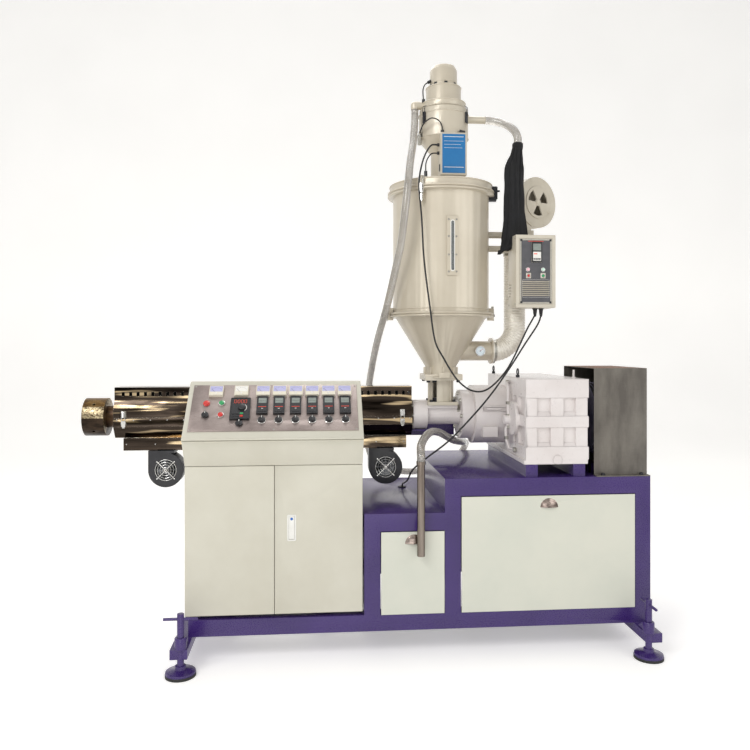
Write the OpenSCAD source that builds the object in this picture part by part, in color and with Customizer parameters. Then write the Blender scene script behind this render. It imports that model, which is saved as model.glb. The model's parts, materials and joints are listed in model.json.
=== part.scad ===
// Single screw profile extruder with a hopper dryer and a vacuum loader.
// X runs along the screw with the head nut at -X, Y runs away from the operator, Z is up.
// The barrel axis lies in the plane y = 0 and the floor is z = 0.

/* [Machine] */
// Height of the screw axis above the floor
axis_z = 1000; // [960:5:1040]

/* [Base frame] */
// Depth of the frame from front to back
frame_depth = 840; // [820:5:880]
// Top of the deck that carries the gearbox
deck_z = 758; // [740:1:765]
// Top of the lower deck beside the control cabinet
step_height = 612; // [560:1:640]

/* [Control cabinet] */
// Width of the cabinet body
cabinet_width = 751; // [740:1:755]

/* [Barrel and screw] */
// Diameter of the screw
screw_d = 65; // [60:1:70]
// Length of the barrel
barrel_length = 1497; // [1480:1:1510]
// Diameter of the head nut
nut_d = 178; // [160:1:190]
// Number of heater zones
zones = 6; // [4:1:6]

/* [Gearbox and drive] */
// Size of the gearbox along the screw
gear_length = 285; // [275:1:290]
// Number of drive belts
belts = 5; // [3:1:5]

/* [Hopper dryer] */
// Outside radius of the hopper cylinder
hopper_r = 234; // [228:1:236]
// Height of the hopper cylinder
hopper_height = 587; // [570:1:600]
// Radius of the ribbed air duct
duct_r = 54; // [48:1:56]
// Radius of the air blower housing
blower_r = 126; // [115:1:130]

/* [Vacuum loader] */
// Radius of the suction hose
hose_r = 18; // [15:1:19]

/* [Hidden] */
$fn = 48;
running = 0.05;
play = 0.3;
over = 1;
gap = 2;
sheet = 2;

// Secondary sizes read off the photograph
loader_r = 121;
hopper_x = 411;
gear_left = 721;
cover_inset = 101;
cover_length = barrel_length - cover_inset;
gear_height = 376;
console_rise = 223;
beam_reach = 124;
big_pulley_d = 330;
motor_height = 390;
cone_height = 238;
rail_w = 70;
frame_bottom = 108;
raised_length = 924;
step_length = 351;
low_length = 744;
pad_r = 62;
console_width = 755;
console_band = 126;
console_run = 230;
nut_length = 99;
cover_half = 86;
cover_rise = 142;
gear_back = 296;
thrust_length = 163;
thrust_d = 284;
small_pulley_d = 165;
hopper_wall = 3;
chamber_height = 122;
cabinet_depth = 300;
console_reach = 80;
outlet_r = 76;
barrel_d = 102;
shaft_distance = 200;
gear_front = 400;
frame_right = 1280;
door_height = 633;

// Base frame
half_depth = frame_depth / 2;
deck_plate = 6;
deck_under = deck_z - deck_plate;
step_under = step_height - deck_plate;
raised_left = frame_right - raised_length;
step_left = raised_left - step_length;
frame_left = step_left - low_length;
low_top = frame_bottom + rail_w;
beam_w = 70;
beam_h = 40;
beam_bottom = frame_bottom - beam_h;
beam_overlap = 18;
left_beam_x = frame_left + beam_overlap - beam_w / 2;
right_beam_inset = 42;
right_beam_x = frame_right - right_beam_inset;
foot_inset = 12;
foot_y = half_depth + beam_reach - foot_inset;
jack_r = 14;
jack_top = 251;
jack_travel = 40;
tommy_r = 6;
tommy_length = 138;
tommy_drop = 22;
jack_shift_left = 7;
jack_shift_right = 20;
left_jack_x = left_beam_x + jack_shift_left;
right_jack_x = right_beam_x - jack_shift_right;
rubber_h = 12;
dish_h = 16;
hub_r = 22;
hub_h = 14;
cable_hole = [239, 156];
cable_hole_r = 16;
slot_margin = 14;
pedestal_w = 54;
pedestal_h = axis_z - gear_height / 2 - deck_z;

// Stand that carries the barrel
stand_y = 95;
stand_tube = 60;
stand_top = axis_z - 55;
stand_post_x = [-690, -170];
arm_w = 60;
arm_h = 8;

// Axial stations from the gearbox to the head nut
thrust_left = gear_left - thrust_length;
main_flange_length = 60;
main_flange_r = 119;
feed_right = thrust_left - main_flange_length;
feed_body_length = 160;
feed_body_r = 50;
feed_flange_length = 71;
feed_flange_r = 71;
feed_body_left = feed_right - feed_body_length;
barrel_right = feed_body_left - feed_flange_length;
barrel_left = barrel_right - barrel_length;
nut_left = barrel_left - nut_length / 2;
barrel_r = barrel_d / 2;
screw_r = screw_d / 2;
bore_r = screw_r + running;
cover_gap = 8;
cover_right = barrel_right - cover_gap;
cover_left = cover_right - cover_length;
die_socket_r = 40;

// Screw flight
screw_root_r = 24;
flight_pitch = screw_d;
flight_steps = 10;
flight_left = barrel_left + screw_d;
flight_right = feed_right;
// Turn and height of each corner of the screw section, as shares of a turn and of the flight
flight_shares = [[-0.05, 1], [0.05, 1], [0.08, 0], [0.25, 0], [0.42, 0], [0.58, 0], [0.75, 0], [0.92, 0]];

// Heater covers, as shares of the half width and of the height above and below the axis
lower_depth = 95;
cover_floor = axis_z - lower_depth;
lower_shoulder = 40;
lower_floor_share = 0.58;
floor_half = cover_half * lower_floor_share;
upper_shoulder = 34;
upper_roof = 78;
box_half = 62;
vent_count = 40;
vent_w = 14;
vent_h = 20;
hinge_r = 5;
hinge_w = 24;
hinge_pin_r = 2;
hinge_y = cover_half + hinge_r + gap / 2;
hinge_z = axis_z + gap;
cover_duct_l = 290;
cover_duct_h = 57;
cover_duct_half = 74;
fan_x = [-897, -431, 130];
fan_duct_x = [-948, -431, 86];
fan_r = 80;
fan_front = 92;
fan_depth = 82;
fan_wheel_r = 52;
fan_wheel_w = 30;
fan_inlet_r = 46;
fan_shaft_r = 5;
fan_rim = 2;
fan_blades = 12;
fan_motor_l = 40;
guard_wire = 1.5;
band_gap = 12;
band_r = 66;
band_ribs = 3;
vent_margin = 40;
vent_pitch = (cover_length - 2 * vent_margin) / (vent_count - 1);
latch_inset = 24;
latch_x = [cover_left + 2 * latch_inset, (cover_left + cover_right) / 2, cover_right - 2 * latch_inset];
latch_w = 22;
latch_h = 26;
latch_t = 3;
knob_inset = 16;
spanner_hole_r = 7;
bolt_r = 9;
bolt_h = 10;
feed_hole_r = 44;
pad_inset = 30;
pad_rise = 5;
pad_z = 24;
pad_h = 50;
fan_z = cover_floor - cover_duct_h - fan_r - 5 * gap;

// Control cabinet
cabinet_left = step_left - cabinet_width - 7;
cabinet_right = cabinet_left + cabinet_width;
cabinet_foot = 17;
door_bottom = low_top + cabinet_foot;
door_top = door_bottom + door_height;
door_thick = 18;
door_seam = cabinet_left + cabinet_width / 2;
front_y = -half_depth;
body_front = front_y + door_thick + play;
body_back = front_y + cabinet_depth;
console_z0 = door_top + console_band;
console_z1 = console_z0 + console_rise;
console_y0 = front_y - console_reach;
console_y1 = console_y0 + console_run;
console_left = cabinet_left - (console_width - cabinet_width) / 2;
console_top_w = 40;
slope = atan2(console_rise, console_run);
slope_length = norm([console_rise, console_run]);
plate_side = 22;
plate_low = 36;
plate_high = 24;
plate_thick = 3;
plate_lap = 14;
zone_u = 324;
zone_pitch = 71;
meter_v = 254;
meter_w = 60;
meter_h = 56;
meter_t = 12;
controller_v = 170;
controller_w = 48;
controller_h = 94;
switch_v = 94;
knob_r = 15;
knob_h = 16;
knob_shaft_r = 4;
left_u = 86;
mid_u = 150;
keypad_u = 231;
keypad_v = 152;
keypad_w = 84;
keypad_h = 117;
knob_v = 75;
high_v = 188;
low_v = 122;
button_r = 11;
button_travel = 4;
bezel_r = 14.5;
bezel_h = 6;
lock_x = cabinet_right - 317;
lock_z = door_bottom + 316;
lock_w = 28;
lock_h = 100;
lock_t = 7;

// Access panels in the frame
panel_t = 3;
panel_gap = 3;
tab_w = 24;
cup_w = 80;
cup_depth = 12;
cup_drop = 51;
small_cup_inset = 135;
cup_ball_r = (pow(cup_w / 2, 2) + pow(cup_depth, 2)) / (2 * cup_depth);

// Gearbox
gear_right = gear_left + gear_length;
gear_z = deck_z + pedestal_h;
gear_top = gear_z + gear_height;
recess = 16;
slab_shares = [[0.05, 0.2], [0.43, 0.56], [0.78, 1]];
pillar_shares = [[0, 0.18], [0.4, 0.6], [0.8, 0.985]];
gear_shaft_r = 28;
boss_r = 78;
boss_t = 18;
pump_r = 22;
pipe_r = 7;
eye_r = 20;
eye_wire = 6;
breather_r = 5;
breather_h = 40;
pump_length = 44;
side_pillar_shares = [[0, 0.05], [0.18, 0.22], [0.36, 0.4], [0.78, 0.82], [0.95, 1]];

// Belt drive
pulley_w = 90;
pulley_gap = 50;
pulley_left = gear_right + pulley_gap;
pulley_right = pulley_left + pulley_w;
belt_w = 12;
belt_h = 9;
belt_depth = 12;
shaft_y = -shaft_distance;
motor_r = 150;
motor_length = 470;
motor_left = pulley_left - motor_length - pulley_gap;
motor_shaft_r = 24;
guard_left = pulley_left - 22;
guard_right = frame_right - gap;
guard_front = shaft_y - big_pulley_d / 2 - 25;
guard_back = shaft_y + big_pulley_d / 2 + 35;
guard_top = axis_z + 236;
guard_flange = 34;
guard_hole_r = 6;
motor_cap = 45;
motor_foot_x = [motor_left + 2 * motor_cap, motor_left + motor_length - 3 * motor_cap];
motor_fins = 24;

// Hopper dryer
flange_t = 12;
throat_z = axis_z + 48;
throat_flange_t = 16;
throat_half = 73;
throat_r = 60;
throat_bore = 50;
throat_top = throat_z + 133;
gate_t = 5;
gate_slot = gate_t + 2 * play;
gate_half = 52;
gate_lap = 6;
gate_reach = 10;
gate_lip = 25;
flutes = 8;
flute_w = 8;
flute_h = 3;
throat_sight_turn = -40;
throat_sight_w = 24;
throat_sight_h = 73;
square_half = 91;
cone_flange = throat_top + gate_slot;
cone_bottom = cone_flange + 22 + 26;
cone_top = cone_bottom + cone_height;
cone_r = hopper_r - 12;
joint_r = hopper_r + 16;
drum_bottom = cone_top + flange_t;
drum_top = drum_bottom + hopper_height;
clamp_ring_h = 13;
lid_h = 30;
rim_r = hopper_r + 22;
lid_top = drum_top + clamp_ring_h + lid_h;
inlet_r = 48;
inlet_z = cone_bottom + 76;
inlet_right = 663;
inlet_flange_r = 64;
sight_w = 52;
sight_h = 273;
sight_slot_w = 15;
sight_slot_h = 229;
sight_z = drum_top - 274;
sight_turn = 3.3;
dial_r = 24;
duct_x = 782;
duct_bend = duct_x - inlet_right - 6;
bend_x = duct_x - duct_bend;
duct_rib = 4;
duct_ribs = 44;
duct_top = 1800;
heater_left = 735;
heater_right = 860;
heater_half = 65;
heater_h = 100;
dryer_left = 733;
dryer_w = 190;
dryer_h = 342;
dryer_front = 200;
dryer_back = heater_half;
dryer_top = duct_top + 57;
dryer_button_x = [793, 863];
dryer_button_z = 1665;
dryer_lamp_x = [790, 863];
dryer_lamp_z = 1694;
controller_x = 808;
controller_z = 1729;
controller_t = 6;
door_margin = 16;
grille_inset = 30;
grille_bottom = 56;
grille_slots = 8;
side_slots = 5;
side_slot_w = 40;
slot_h = 4.5;
blower_x = 879;
blower_y = 40;
blower_z = 2050;
blower_turn = 28;
blower_w = 90;
blower_neck_w = 80;
shutter_r = 80;
shutter_t = 4;
blower_inlet_r = 66;
bar_h = 26;
bar_t = 6;
bar_gap = 40;
scroll_wall = 4;
scroll_outlet_x = -blower_neck_w;
shutter_hub_r = 14;
shutter_pin_r = 4;
shutter_tab = 14;
blower_motor_r = 60;
blower_motor_l = 90;
dryer_button_r = 6;
dryer_button_h = 8;
dryer_button_travel = 3;
lamp_r = 7;
gland_r = 8;
gland_l = 16;
clip_w = 30;
latch_turn = -30;
clamp_turn = 80;
joint_clamp_turns = [-90, 90, 150, 210];
dial_x = 592;

// Vacuum loader
loader_x = hopper_x + 14;
loader_foot_r = 62;
loader_foot_top = lid_top + 160;
loader_cone_h = 70;
chamber_bottom = loader_foot_top + loader_cone_h;
chamber_top = chamber_bottom + chamber_height;
collar_h = 20;
collar_gap = 5;
head_r = 108;
head_h = 32;
head_bottom = chamber_top + collar_h + collar_gap;
neck_r = 86;
neck_h = 78;
dome_r = 67;
dome_h = 103;
loader_box_left = 386;
loader_box_w = 126;
loader_box_h = 200;
loader_box_z = 2146;
loader_box_front = 142;
loader_box_back = 68;
loader_knob_r = 20;
port_rise = 23.4;
port_z = head_bottom + port_rise;
stub_r = 20;
elbow_x = loader_x - loader_r - hose_r - 3;
exhaust_drop = 14.6;
exhaust_z = chamber_top - exhaust_drop;
exhaust_end = 633;
cable_r = 4;
lead_r = 3;
hose_wall = 3;
wand_r = 17;
wand_wall = 1.5;
wand_bottom = 437;
wand_slant = 25;
strap_w = 13;
strap_t = 2;
exhaust_hose_r = 20;

// Routes, chosen by hand
hose_route = [
  [283, 0, 2494], [283, 0, 2484], [282, -6, 2460], [278, -26, 2420], [262, -92, 2310], [236, -178, 2188],
  [219, -236, 2080], [204, -244, 1950], [188, -222, 1810], [164, -160, 1670], [136, -64, 1515],
  [108, 70, 1375], [92, 190, 1255], [76, 300, 1090], [70, 330, 940], [88, 372, 765], [150, 440, 682],
  [300, 504, 630], [480, 514, 648], [600, 476, 726], [628, 440, 785], [598, 332, 818], [552, 165, 840],
  [476, 10, 870], [380, -116, 924], [312, -250, 936], [254, -400, 900], [247, -448, 866], [246, -454, 846],
  [246, -454, 830]];
loader_cable_route = [
  [376, -104, 2296], [354, -104, 2296], [326, -138, 2264], [284, -222, 2170], [268, -246, 2080],
  [280, -246, 1920], [290, -247, 1740], [316, -254, 1520], [344, -254, 1347], [374, -252, 1290],
  [450, -242, 1175], [520, -218, 1128], [590, -192, 1128], [690, -168, 1212], [806, -142, 1420],
  [846, -130, 1488], [846, -130, 1499]];
supply_cable_route = [
  [875, -130, 1499], [875, -130, 1488], [862, -140, 1450], [780, -176, 1340], [700, -194, 1225],
  [600, -212, 1096], [500, -226, 988], [400, -242, 894], [300, -242, 820], [248, -210, 768],
  [236, -90, 696], [238, 60, 652], [239, 145, 628], [239, 156, 600]];
sensor_lead_route = [
  [376, -104, 2256], [352, -106, 2254], [330, -126, 2230], [313, -157, 2190], [312, -160, 2170], [312, -160, 2156]
];
valve_lead_route = [
  [304, -38, 2372], [302, -62, 2376], [314, -112, 2398], [345, -142, 2412], [378, -142, 2400],
  [395, -131, 2376], [396, -130, 2360]];
motor_lead_route = [[346, -18, 2624], [330, -24, 2612], [320, -26, 2588], [320, -24, 2562], [322, -22, 2540]
];
exhaust_route = [
  [633, 0, 2452], [653, 0, 2452], [680, -7, 2446], [703, -21, 2436], [724, -39, 2422], [741, -58, 2405],
  [755, -75, 2386], [765, -90, 2363], [770, -98, 2339], [770, -98, 2316]];

// Ovals of the filter bag from its neck down: x, y, z, half width, half depth
bag_ovals = [
  [770, -98, 2316, 20, 20], [768, -100, 2296, 22, 21], [760, -106, 2262, 34, 26], [748, -120, 2210, 58, 32],
  [742, -128, 2130, 66, 35], [740, -130, 2040, 66, 35], [736, -130, 1960, 62, 33], [722, -130, 1900, 50, 28],
  [692, -126, 1852, 28, 18], [678, -122, 1790, 24, 12], [664, -120, 1724, 20, 8]];

// A box between two opposite corners
module block(low, high) {
  translate(low) cube(high - low);
}

module up(z) {
  translate([0, 0, z]) children();
}

module spin(a) {
  rotate([0, 0, a]) children();
}

// A round hole through a wall that stands on z = 0
module hole(depth, r) {
  up(-over) cylinder(h = depth + 2 * over, r = r);
}

// Turns children so that their Z runs along X
module lie() {
  rotate([0, 90, 0]) children();
}

// An upright rod that stands on a point, and one along X
module rod(at, h, r) {
  translate(at) cylinder(h = h, r = r);
}

module rod_x(at, h, r) {
  translate(at) lie() cylinder(h = h, r = r);
}

// A cylinder along X between two stations on the screw axis
module along_x(x0, x1, r) {
  rod_x([x0, 0, axis_z], x1 - x0, r);
}

// A cylinder along Y that starts at a point
module along_y(at, length, r) {
  translate(at) rotate([-90, 0, 0]) cylinder(h = length, r = r);
}

// A prism along X with its outline in Y and Z
module profile_x(x0, x1, outline) {
  translate([x0, 0, 0]) rotate([90, 0, 90]) linear_extrude(x1 - x0) polygon(outline);
}

// Places children on the console slope, u along X and v up the slope
module on_console(u, v) {
  translate([console_left, console_y0, console_z0]) rotate([slope, 0, 0]) translate([u, v, 0]) children();
}

function last(route) = route[len(route) - 1];
function before_last(route) = route[len(route) - 2];
function unit(v) = v / norm(v);
function heading(p, i) = i == 0 ? unit(p[1] - p[0]) : i == len(p) - 1 ? unit(p[i] - p[i - 1]) :
  unit(unit(p[i + 1] - p[i]) + unit(p[i] - p[i - 1]));
function carried(p, i, side) = i == len(p) ? [] :
  let (t = heading(p, i), s = unit(side - (side * t) * t)) concat([s], carried(p, i + 1, s));
function ring_points(at, t, s, r, sides) = let (w = cross(t, s))
  [for (k = [0 : sides - 1]) at + r * (cos(360 * k / sides) * s + sin(360 * k / sides) * w)];
function strip_faces(rings, sides) = [for (i = [0 : rings - 2], k = [0 : sides - 1], half = [0, 1])
    let (a = i * sides + k, b = i * sides + (k + 1) % sides, c = a + sides, d = b + sides)
    half == 0 ? [a, c, b] : [b, c, d]];
function closed_faces(rings, sides) = concat(strip_faces(rings, sides), [[for (k = [0 : sides - 1]) k]],
  [[for (k = [sides - 1 : -1 : 0]) (rings - 1) * sides + k]]);

function sleeve(route, r, sides) = let (sideways = carried(route, 0, [0.31, 0.9, 0.3]))
  [for (i = [0 : len(route) - 1]) each ring_points(route[i], heading(route, i), sideways[i], r, sides)];

// A plain cord of one radius along a route
module cord(route, r, sides) {
  polyhedron(points = sleeve(route, r, sides), faces = closed_faces(len(route), sides));
}

// A hollow hose with flat ends along a route
module tube(route, r, wall, sides) {
  strip = strip_faces(len(route), sides);
  n = len(route) * sides;
  top = n - sides;
  polyhedron(points = concat(sleeve(route, r, sides), sleeve(route, r - wall, sides)), faces = concat(strip,
      [for (f = strip) [f[2] + n, f[1] + n, f[0] + n]],
      [for (k = [0 : sides - 1]) let (m = (k + 1) % sides) [k, m, m + n, k + n]],
      [for (k = [0 : sides - 1]) let (m = (k + 1) % sides) [top + m, top + k, top + k + n, top + m + n]]));
}

// Turns children so that Z runs from the end of a route towards its second point
module facing(at, toward) {
  d = unit(toward - at);
  translate(at) rotate([0, acos(d[2]), atan2(d[1], d[0])]) children();
}

// A cable gland behind the end of a route
module gland(at, toward, length, r) {
  facing(at, toward) up(-length) cylinder(h = length, r = r, $fn = 24);
}

// A hose clamp band of outer radius r and inner radius hole, with its screw block
module strap(at, toward, r, hole) {
  facing(at, toward) up(gap) difference() {
    union() {
      cylinder(h = strap_w, r = r);
      translate([-strap_w / 2, 0, 0]) cube([strap_w, r + strap_w / 2, strap_w]);
    }
    hole(strap_w, hole);
  }
}

// A row of bolt heads on a circle, standing along X
module bolt_circle_x(x0, length, pitch_r, r, count) {
  for (k = [0 : count - 1])
    translate([x0, pitch_r * cos(360 * k / count), axis_z + pitch_r * sin(360 * k / count)])
      lie() cylinder(h = length, r = r, $fn = 6);
}

// Welded base

module frame_tubes() {
  inner = half_depth - rail_w;
  post_y = [-half_depth, inner];
  for (y = post_y) {
    block([frame_left, y, frame_bottom], [frame_right, y + rail_w, low_top]);
    block([step_left, y, step_under - rail_w], [raised_left, y + rail_w, step_under]);
    block([raised_left, y, deck_under - rail_w], [frame_right, y + rail_w, deck_under]);
    block([step_left, y, low_top], [step_left + rail_w, y + rail_w, step_under]);
    block([raised_left, y, low_top], [raised_left + rail_w, y + rail_w, deck_under]);
    block([frame_right - rail_w, y, low_top], [frame_right, y + rail_w, deck_under]);
  }
  for (x = [frame_left, stand_post_x[0] + rail_w, stand_post_x[1] - rail_w / 2, step_left, raised_left,
       motor_foot_x[0], motor_foot_x[1], frame_right - rail_w])
    block([x, -inner, frame_bottom], [x + rail_w, inner, low_top]);
  for (x = [gear_left, gear_right - rail_w, frame_right - rail_w, raised_left])
    block([x, -inner, deck_under - rail_w], [x + rail_w, inner, deck_under]);
}

module cross_beam(x) {
  reach = half_depth + beam_reach;
  block([x - beam_w / 2, -reach, beam_bottom], [x + beam_w / 2, reach, frame_bottom]);
}

module decks() {
  difference() {
    block([step_left, -half_depth, step_under], [raised_left, half_depth, step_height]);
    rod([cable_hole[0], cable_hole[1], step_under - over], deck_plate + 2 * over, cable_hole_r);
  }
  difference() {
    block([raised_left, -half_depth, deck_under], [frame_right, half_depth, deck_z]);
    block([pulley_left - slot_margin, shaft_y - big_pulley_d / 2 - slot_margin, deck_under - over],
       [pulley_right + slot_margin, shaft_y + big_pulley_d / 2 + slot_margin, deck_z + over]);
  }
}

module closing_sheets() {
  block([step_left, half_depth - sheet, low_top], [frame_right, half_depth, step_under]);
  block([raised_left, half_depth - sheet, step_under], [frame_right, half_depth, deck_under]);
  block([frame_right - sheet, -half_depth, low_top], [frame_right, half_depth, deck_under]);
  block([raised_left, -half_depth, step_under], [raised_left + sheet, half_depth, deck_under]);
}

module barrel_stand() {
  block([stand_post_x[0] - stand_tube / 2, stand_y, stand_top - stand_tube],
     [feed_right - gap, stand_y + stand_tube, stand_top]);
  for (x = stand_post_x) {
    block([x - stand_tube / 2, stand_y, frame_bottom],
       [x + stand_tube / 2, stand_y + stand_tube, stand_top - stand_tube]);
    block([x - arm_w / 2, -cover_half / 2, cover_floor - arm_h],
       [x + arm_w / 2, stand_y + over, cover_floor]);
  }
  bracket_top = axis_z - feed_flange_r;
  block([barrel_right, -feed_flange_r / 2, bracket_top - arm_h],
     [barrel_right + feed_flange_length, stand_y + over, bracket_top]);
}

module pedestals() {
  for (x = [gear_left, gear_right - pedestal_w - recess])
    block([x, -gear_front + gap, deck_z], [x + pedestal_w, gear_back, gear_z]);
}

module base_frame() {
  color("#483575") difference() {
    union() {
      frame_tubes();
      cross_beam(left_beam_x);
      cross_beam(right_beam_x);
      decks();
      closing_sheets();
      barrel_stand();
      pedestals();
    }
    for (x = [left_jack_x, right_jack_x], y = [-foot_y, foot_y])
      rod([x, y, beam_bottom - over], beam_h + 2 * over, jack_r + running);
  }
}

// A jack screw with its tommy bar and pad; turn swings the bar
module foot(x, y, turn) {
  translate([x, y, 0]) {
    color("#1d1d20") cylinder(h = rubber_h, r = pad_r);
    color("#3e3367") {
      up(rubber_h) cylinder(h = dish_h / 2, r = pad_r - gap);
      up(rubber_h + dish_h / 2) cylinder(h = dish_h / 2, r1 = pad_r - gap, r2 = hub_r);
      up(rubber_h + dish_h) cylinder(h = hub_h, r = hub_r);
      up(rubber_h + dish_h) cylinder(h = jack_top - rubber_h - dish_h, r = jack_r);
      up(jack_top - tommy_drop) spin(turn) lie() cylinder(h = tommy_length, r = tommy_r, center = true);
    }
  }
}

// Control cabinet

module cabinet_outline(inset) {
  polygon([[body_front + inset, low_top + cabinet_foot + inset], [body_front + inset, door_top + inset],
    [front_y + inset * 1.2, door_top + inset], [console_y0 + inset * 1.5, console_z0],
    [console_y1 + inset / 2, console_z1 - inset], [console_y1 + console_top_w - inset, console_z1 - inset],
    [console_y1 + console_top_w - inset, console_z0 - console_rise / 3],
    [body_back - inset, door_top + inset], [body_back - inset, low_top + cabinet_foot + inset]]);
}

module cabinet_prism(x0, x1, inset) {
  translate([x0, 0, 0]) rotate([90, 0, 90]) linear_extrude(x1 - x0) cabinet_outline(inset);
}

module cabinet_shell() {
  color("#d7d5c9") {
    difference() {
      cabinet_prism(cabinet_left, cabinet_right, 0);
      cabinet_prism(cabinet_left + sheet, cabinet_right - sheet, sheet);
      block([cabinet_left + 5 * sheet, body_front - over, door_bottom + 5 * sheet],
         [cabinet_right - 5 * sheet, body_front + 2 * sheet, door_top - 5 * sheet]);
      on_console(plate_side + plate_lap, plate_low + plate_lap) up(-5 * sheet)
          cube([console_width - 2 * plate_side - 2 * plate_lap,
             slope_length - plate_low - plate_high - 2 * plate_lap, 10 * sheet]);
    }
    for (x = [cabinet_left + 2 * pad_r, cabinet_right - 3 * pad_r])
      block([x, body_front + pad_r, low_top], [x + pad_r, body_back - sheet, door_bottom]);
  }
}

module console_plate() {
  length = slope_length - plate_low - plate_high;
  color("#b9aea8") difference() {
    on_console(plate_side, plate_low) cube([console_width - 2 * plate_side, length, plate_thick]);
    shafts = [[left_u, low_v], [keypad_u, knob_v], for (k = [0 : zones - 1]) [zone_u + k * zone_pitch, switch_v]];
    for (at = shafts) on_console(at[0], at[1]) hole(plate_thick, knob_shaft_r + running);
    for (v = [high_v, low_v]) on_console(mid_u, v) hole(plate_thick, button_r + play);
  }
}

module panel_instruments() {
  meter_u = [122, 230, for (k = [0 : zones - 1]) zone_u + k * zone_pitch];
  color("#e8e4dc") for (u = meter_u)
    on_console(u, meter_v) translate([-meter_w / 2, -meter_h / 2, plate_thick]) cube([meter_w, meter_h, meter_t]);
  color("#1b1b1e") for (k = [0 : zones - 1]) on_console(zone_u + k * zone_pitch, controller_v)
      translate([-controller_w / 2, -controller_h / 2, plate_thick])
        cube([controller_w, controller_h, meter_t]);
  color("#1b1b1e") on_console(keypad_u, keypad_v)
    translate([-keypad_w / 2, -keypad_h / 2, plate_thick]) cube([keypad_w, keypad_h, meter_t]);
  color("#c02020") on_console(left_u, high_v) up(plate_thick) {
    cylinder(h = bezel_h, r = bezel_r);
    cylinder(h = bezel_h + button_travel, r = button_r);
  }
  color("#c8c8c8") for (v = [high_v, low_v]) on_console(mid_u, v) up(plate_thick) difference() {
      cylinder(h = bezel_h, r = bezel_r);
      hole(bezel_h, button_r + play);
    }
}

// A knob with a pointer ridge and a shaft through the panel
module panel_knob(u, v) {
  on_console(u, v) {
    up(-plate_thick) cylinder(h = 2 * plate_thick + play + over, r = knob_shaft_r);
    up(plate_thick + play) cylinder(h = knob_h / 2, r = knob_r);
    translate([-knob_shaft_r, -knob_r, plate_thick + play + knob_h / 2 - over])
      cube([2 * knob_shaft_r, 2 * knob_r, knob_h / 2]);
  }
}

module zone_switch(k) {
  color("#1b1b1e") panel_knob(zone_u + (k - 1) * zone_pitch, switch_v);
}

module speed_knob() {
  color("#1b1b1e") panel_knob(keypad_u, knob_v);
}

module mode_switch() {
  color("#1b1b1e") panel_knob(left_u, low_v);
}

module push_button(u, v) {
  on_console(u, v) up(-plate_thick) cylinder(h = 2 * plate_thick + bezel_h + button_travel, r = button_r);
}

module start_button() {
  color("#2f9a48") push_button(mid_u, high_v);
}

module stop_button() {
  color("#c8302c") push_button(mid_u, low_v);
}

module door_leaf(x0, x1) {
  difference() {
    block([x0, front_y, door_bottom], [x1, front_y + door_thick, door_top - gap]);
    block([x0 + door_thick, front_y + sheet, door_bottom + door_thick],
       [x1 - door_thick, front_y + door_thick + over, door_top - door_thick]);
  }
}

module cabinet_door_left() {
  color("#dadad0") door_leaf(cabinet_left, door_seam - gap / 2);
}

module cabinet_door_right() {
  color("#dadad0") difference() {
    union() {
      door_leaf(door_seam + gap / 2, cabinet_right);
      block([lock_x, front_y, lock_z - gap],
         [lock_x + lock_w, front_y + door_thick - gap, lock_z + lock_h + gap]);
    }
    block([lock_x + gap, front_y - over, lock_z], [lock_x + lock_w - gap, front_y + lock_t, lock_z + lock_h]);
  }
}

module door_handle() {
  handle_r = (lock_t - play + gap) / 2;
  width = lock_w - 2 * gap - 2 * play;
  color("#d8d8d2") translate([lock_x + gap + play, front_y - gap + handle_r, lock_z + play + handle_r]) {
    lie() cylinder(h = width, r = handle_r);
    translate([0, -handle_r, 0]) cube([width, 2 * handle_r, lock_h - 2 * play - handle_r]);
  }
}

// Access panels stand on the bottom rail with two tabs and lift off

// Shallow half bowl open at the bottom, its wall an arc turned half way round
module cup_pull() {
  rotate([90, 0, 0]) rotate_extrude(angle = 180) intersection() {
    translate([0, cup_depth - cup_ball_r]) difference() {
      circle(r = cup_ball_r);
      circle(r = cup_ball_r - gap);
    }
    square(cup_w);
  }
}

module access_panel(x0, x1, z1, cup_x) {
  z0 = low_top + play;
  face = front_y - play - panel_t;
  block([x0, face, z0], [x1, face + panel_t, z1]);
  for (x = [x0 + tab_w, x1 - 2 * tab_w])
    block([x, face, z0], [x + tab_w, front_y + tab_w / 2, z0 + panel_t]);
  translate([cup_x, face, z1 - cup_drop]) cup_pull();
}

module access_panel_large() {
  color("#ddddd1") access_panel(raised_left + rail_w + panel_gap, frame_right - rail_w - panel_gap,
           deck_under - rail_w - panel_gap, (raised_left + frame_right) / 2);
}

module access_panel_small() {
  color("#dadfda") access_panel(step_left + rail_w + panel_gap, raised_left - panel_gap,
           step_under - rail_w - panel_gap, raised_left - small_cup_inset);
}

// Barrel, covers and fans

module head_nut() {
  color("#6b5f50") difference() {
    along_x(nut_left, nut_left + nut_length, nut_d / 2);
    along_x(nut_left - over, barrel_left, die_socket_r);
    along_x(barrel_left, nut_left + nut_length + over, barrel_r);
    for (k = [0 : 3]) translate([nut_left + nut_length / 2, 0, axis_z]) rotate([45 + 90 * k, 0, 0])
        up(barrel_r + 3 * gap) cylinder(h = nut_d, r = spanner_hole_r);
  }
}

module barrel_tube() {
  color("#8d8378") difference() {
    along_x(barrel_left, barrel_right, barrel_r);
    along_x(barrel_left - over, barrel_right + over, bore_r);
  }
}

module heater_bands() {
  pitch = cover_length / zones;
  color("#a8a49a") for (k = [0 : zones - 1]) difference() {
    union() {
      along_x(cover_left + k * pitch + band_gap, cover_left + (k + 1) * pitch - band_gap, band_r);
      for (n = [1 : band_ribs]) along_x(cover_left + k * pitch + n * pitch / (band_ribs + 1) - gap,
            cover_left + k * pitch + n * pitch / (band_ribs + 1) + gap, band_r + 2 * gap);
    }
    along_x(cover_left, cover_right, barrel_r);
  }
}

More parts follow.
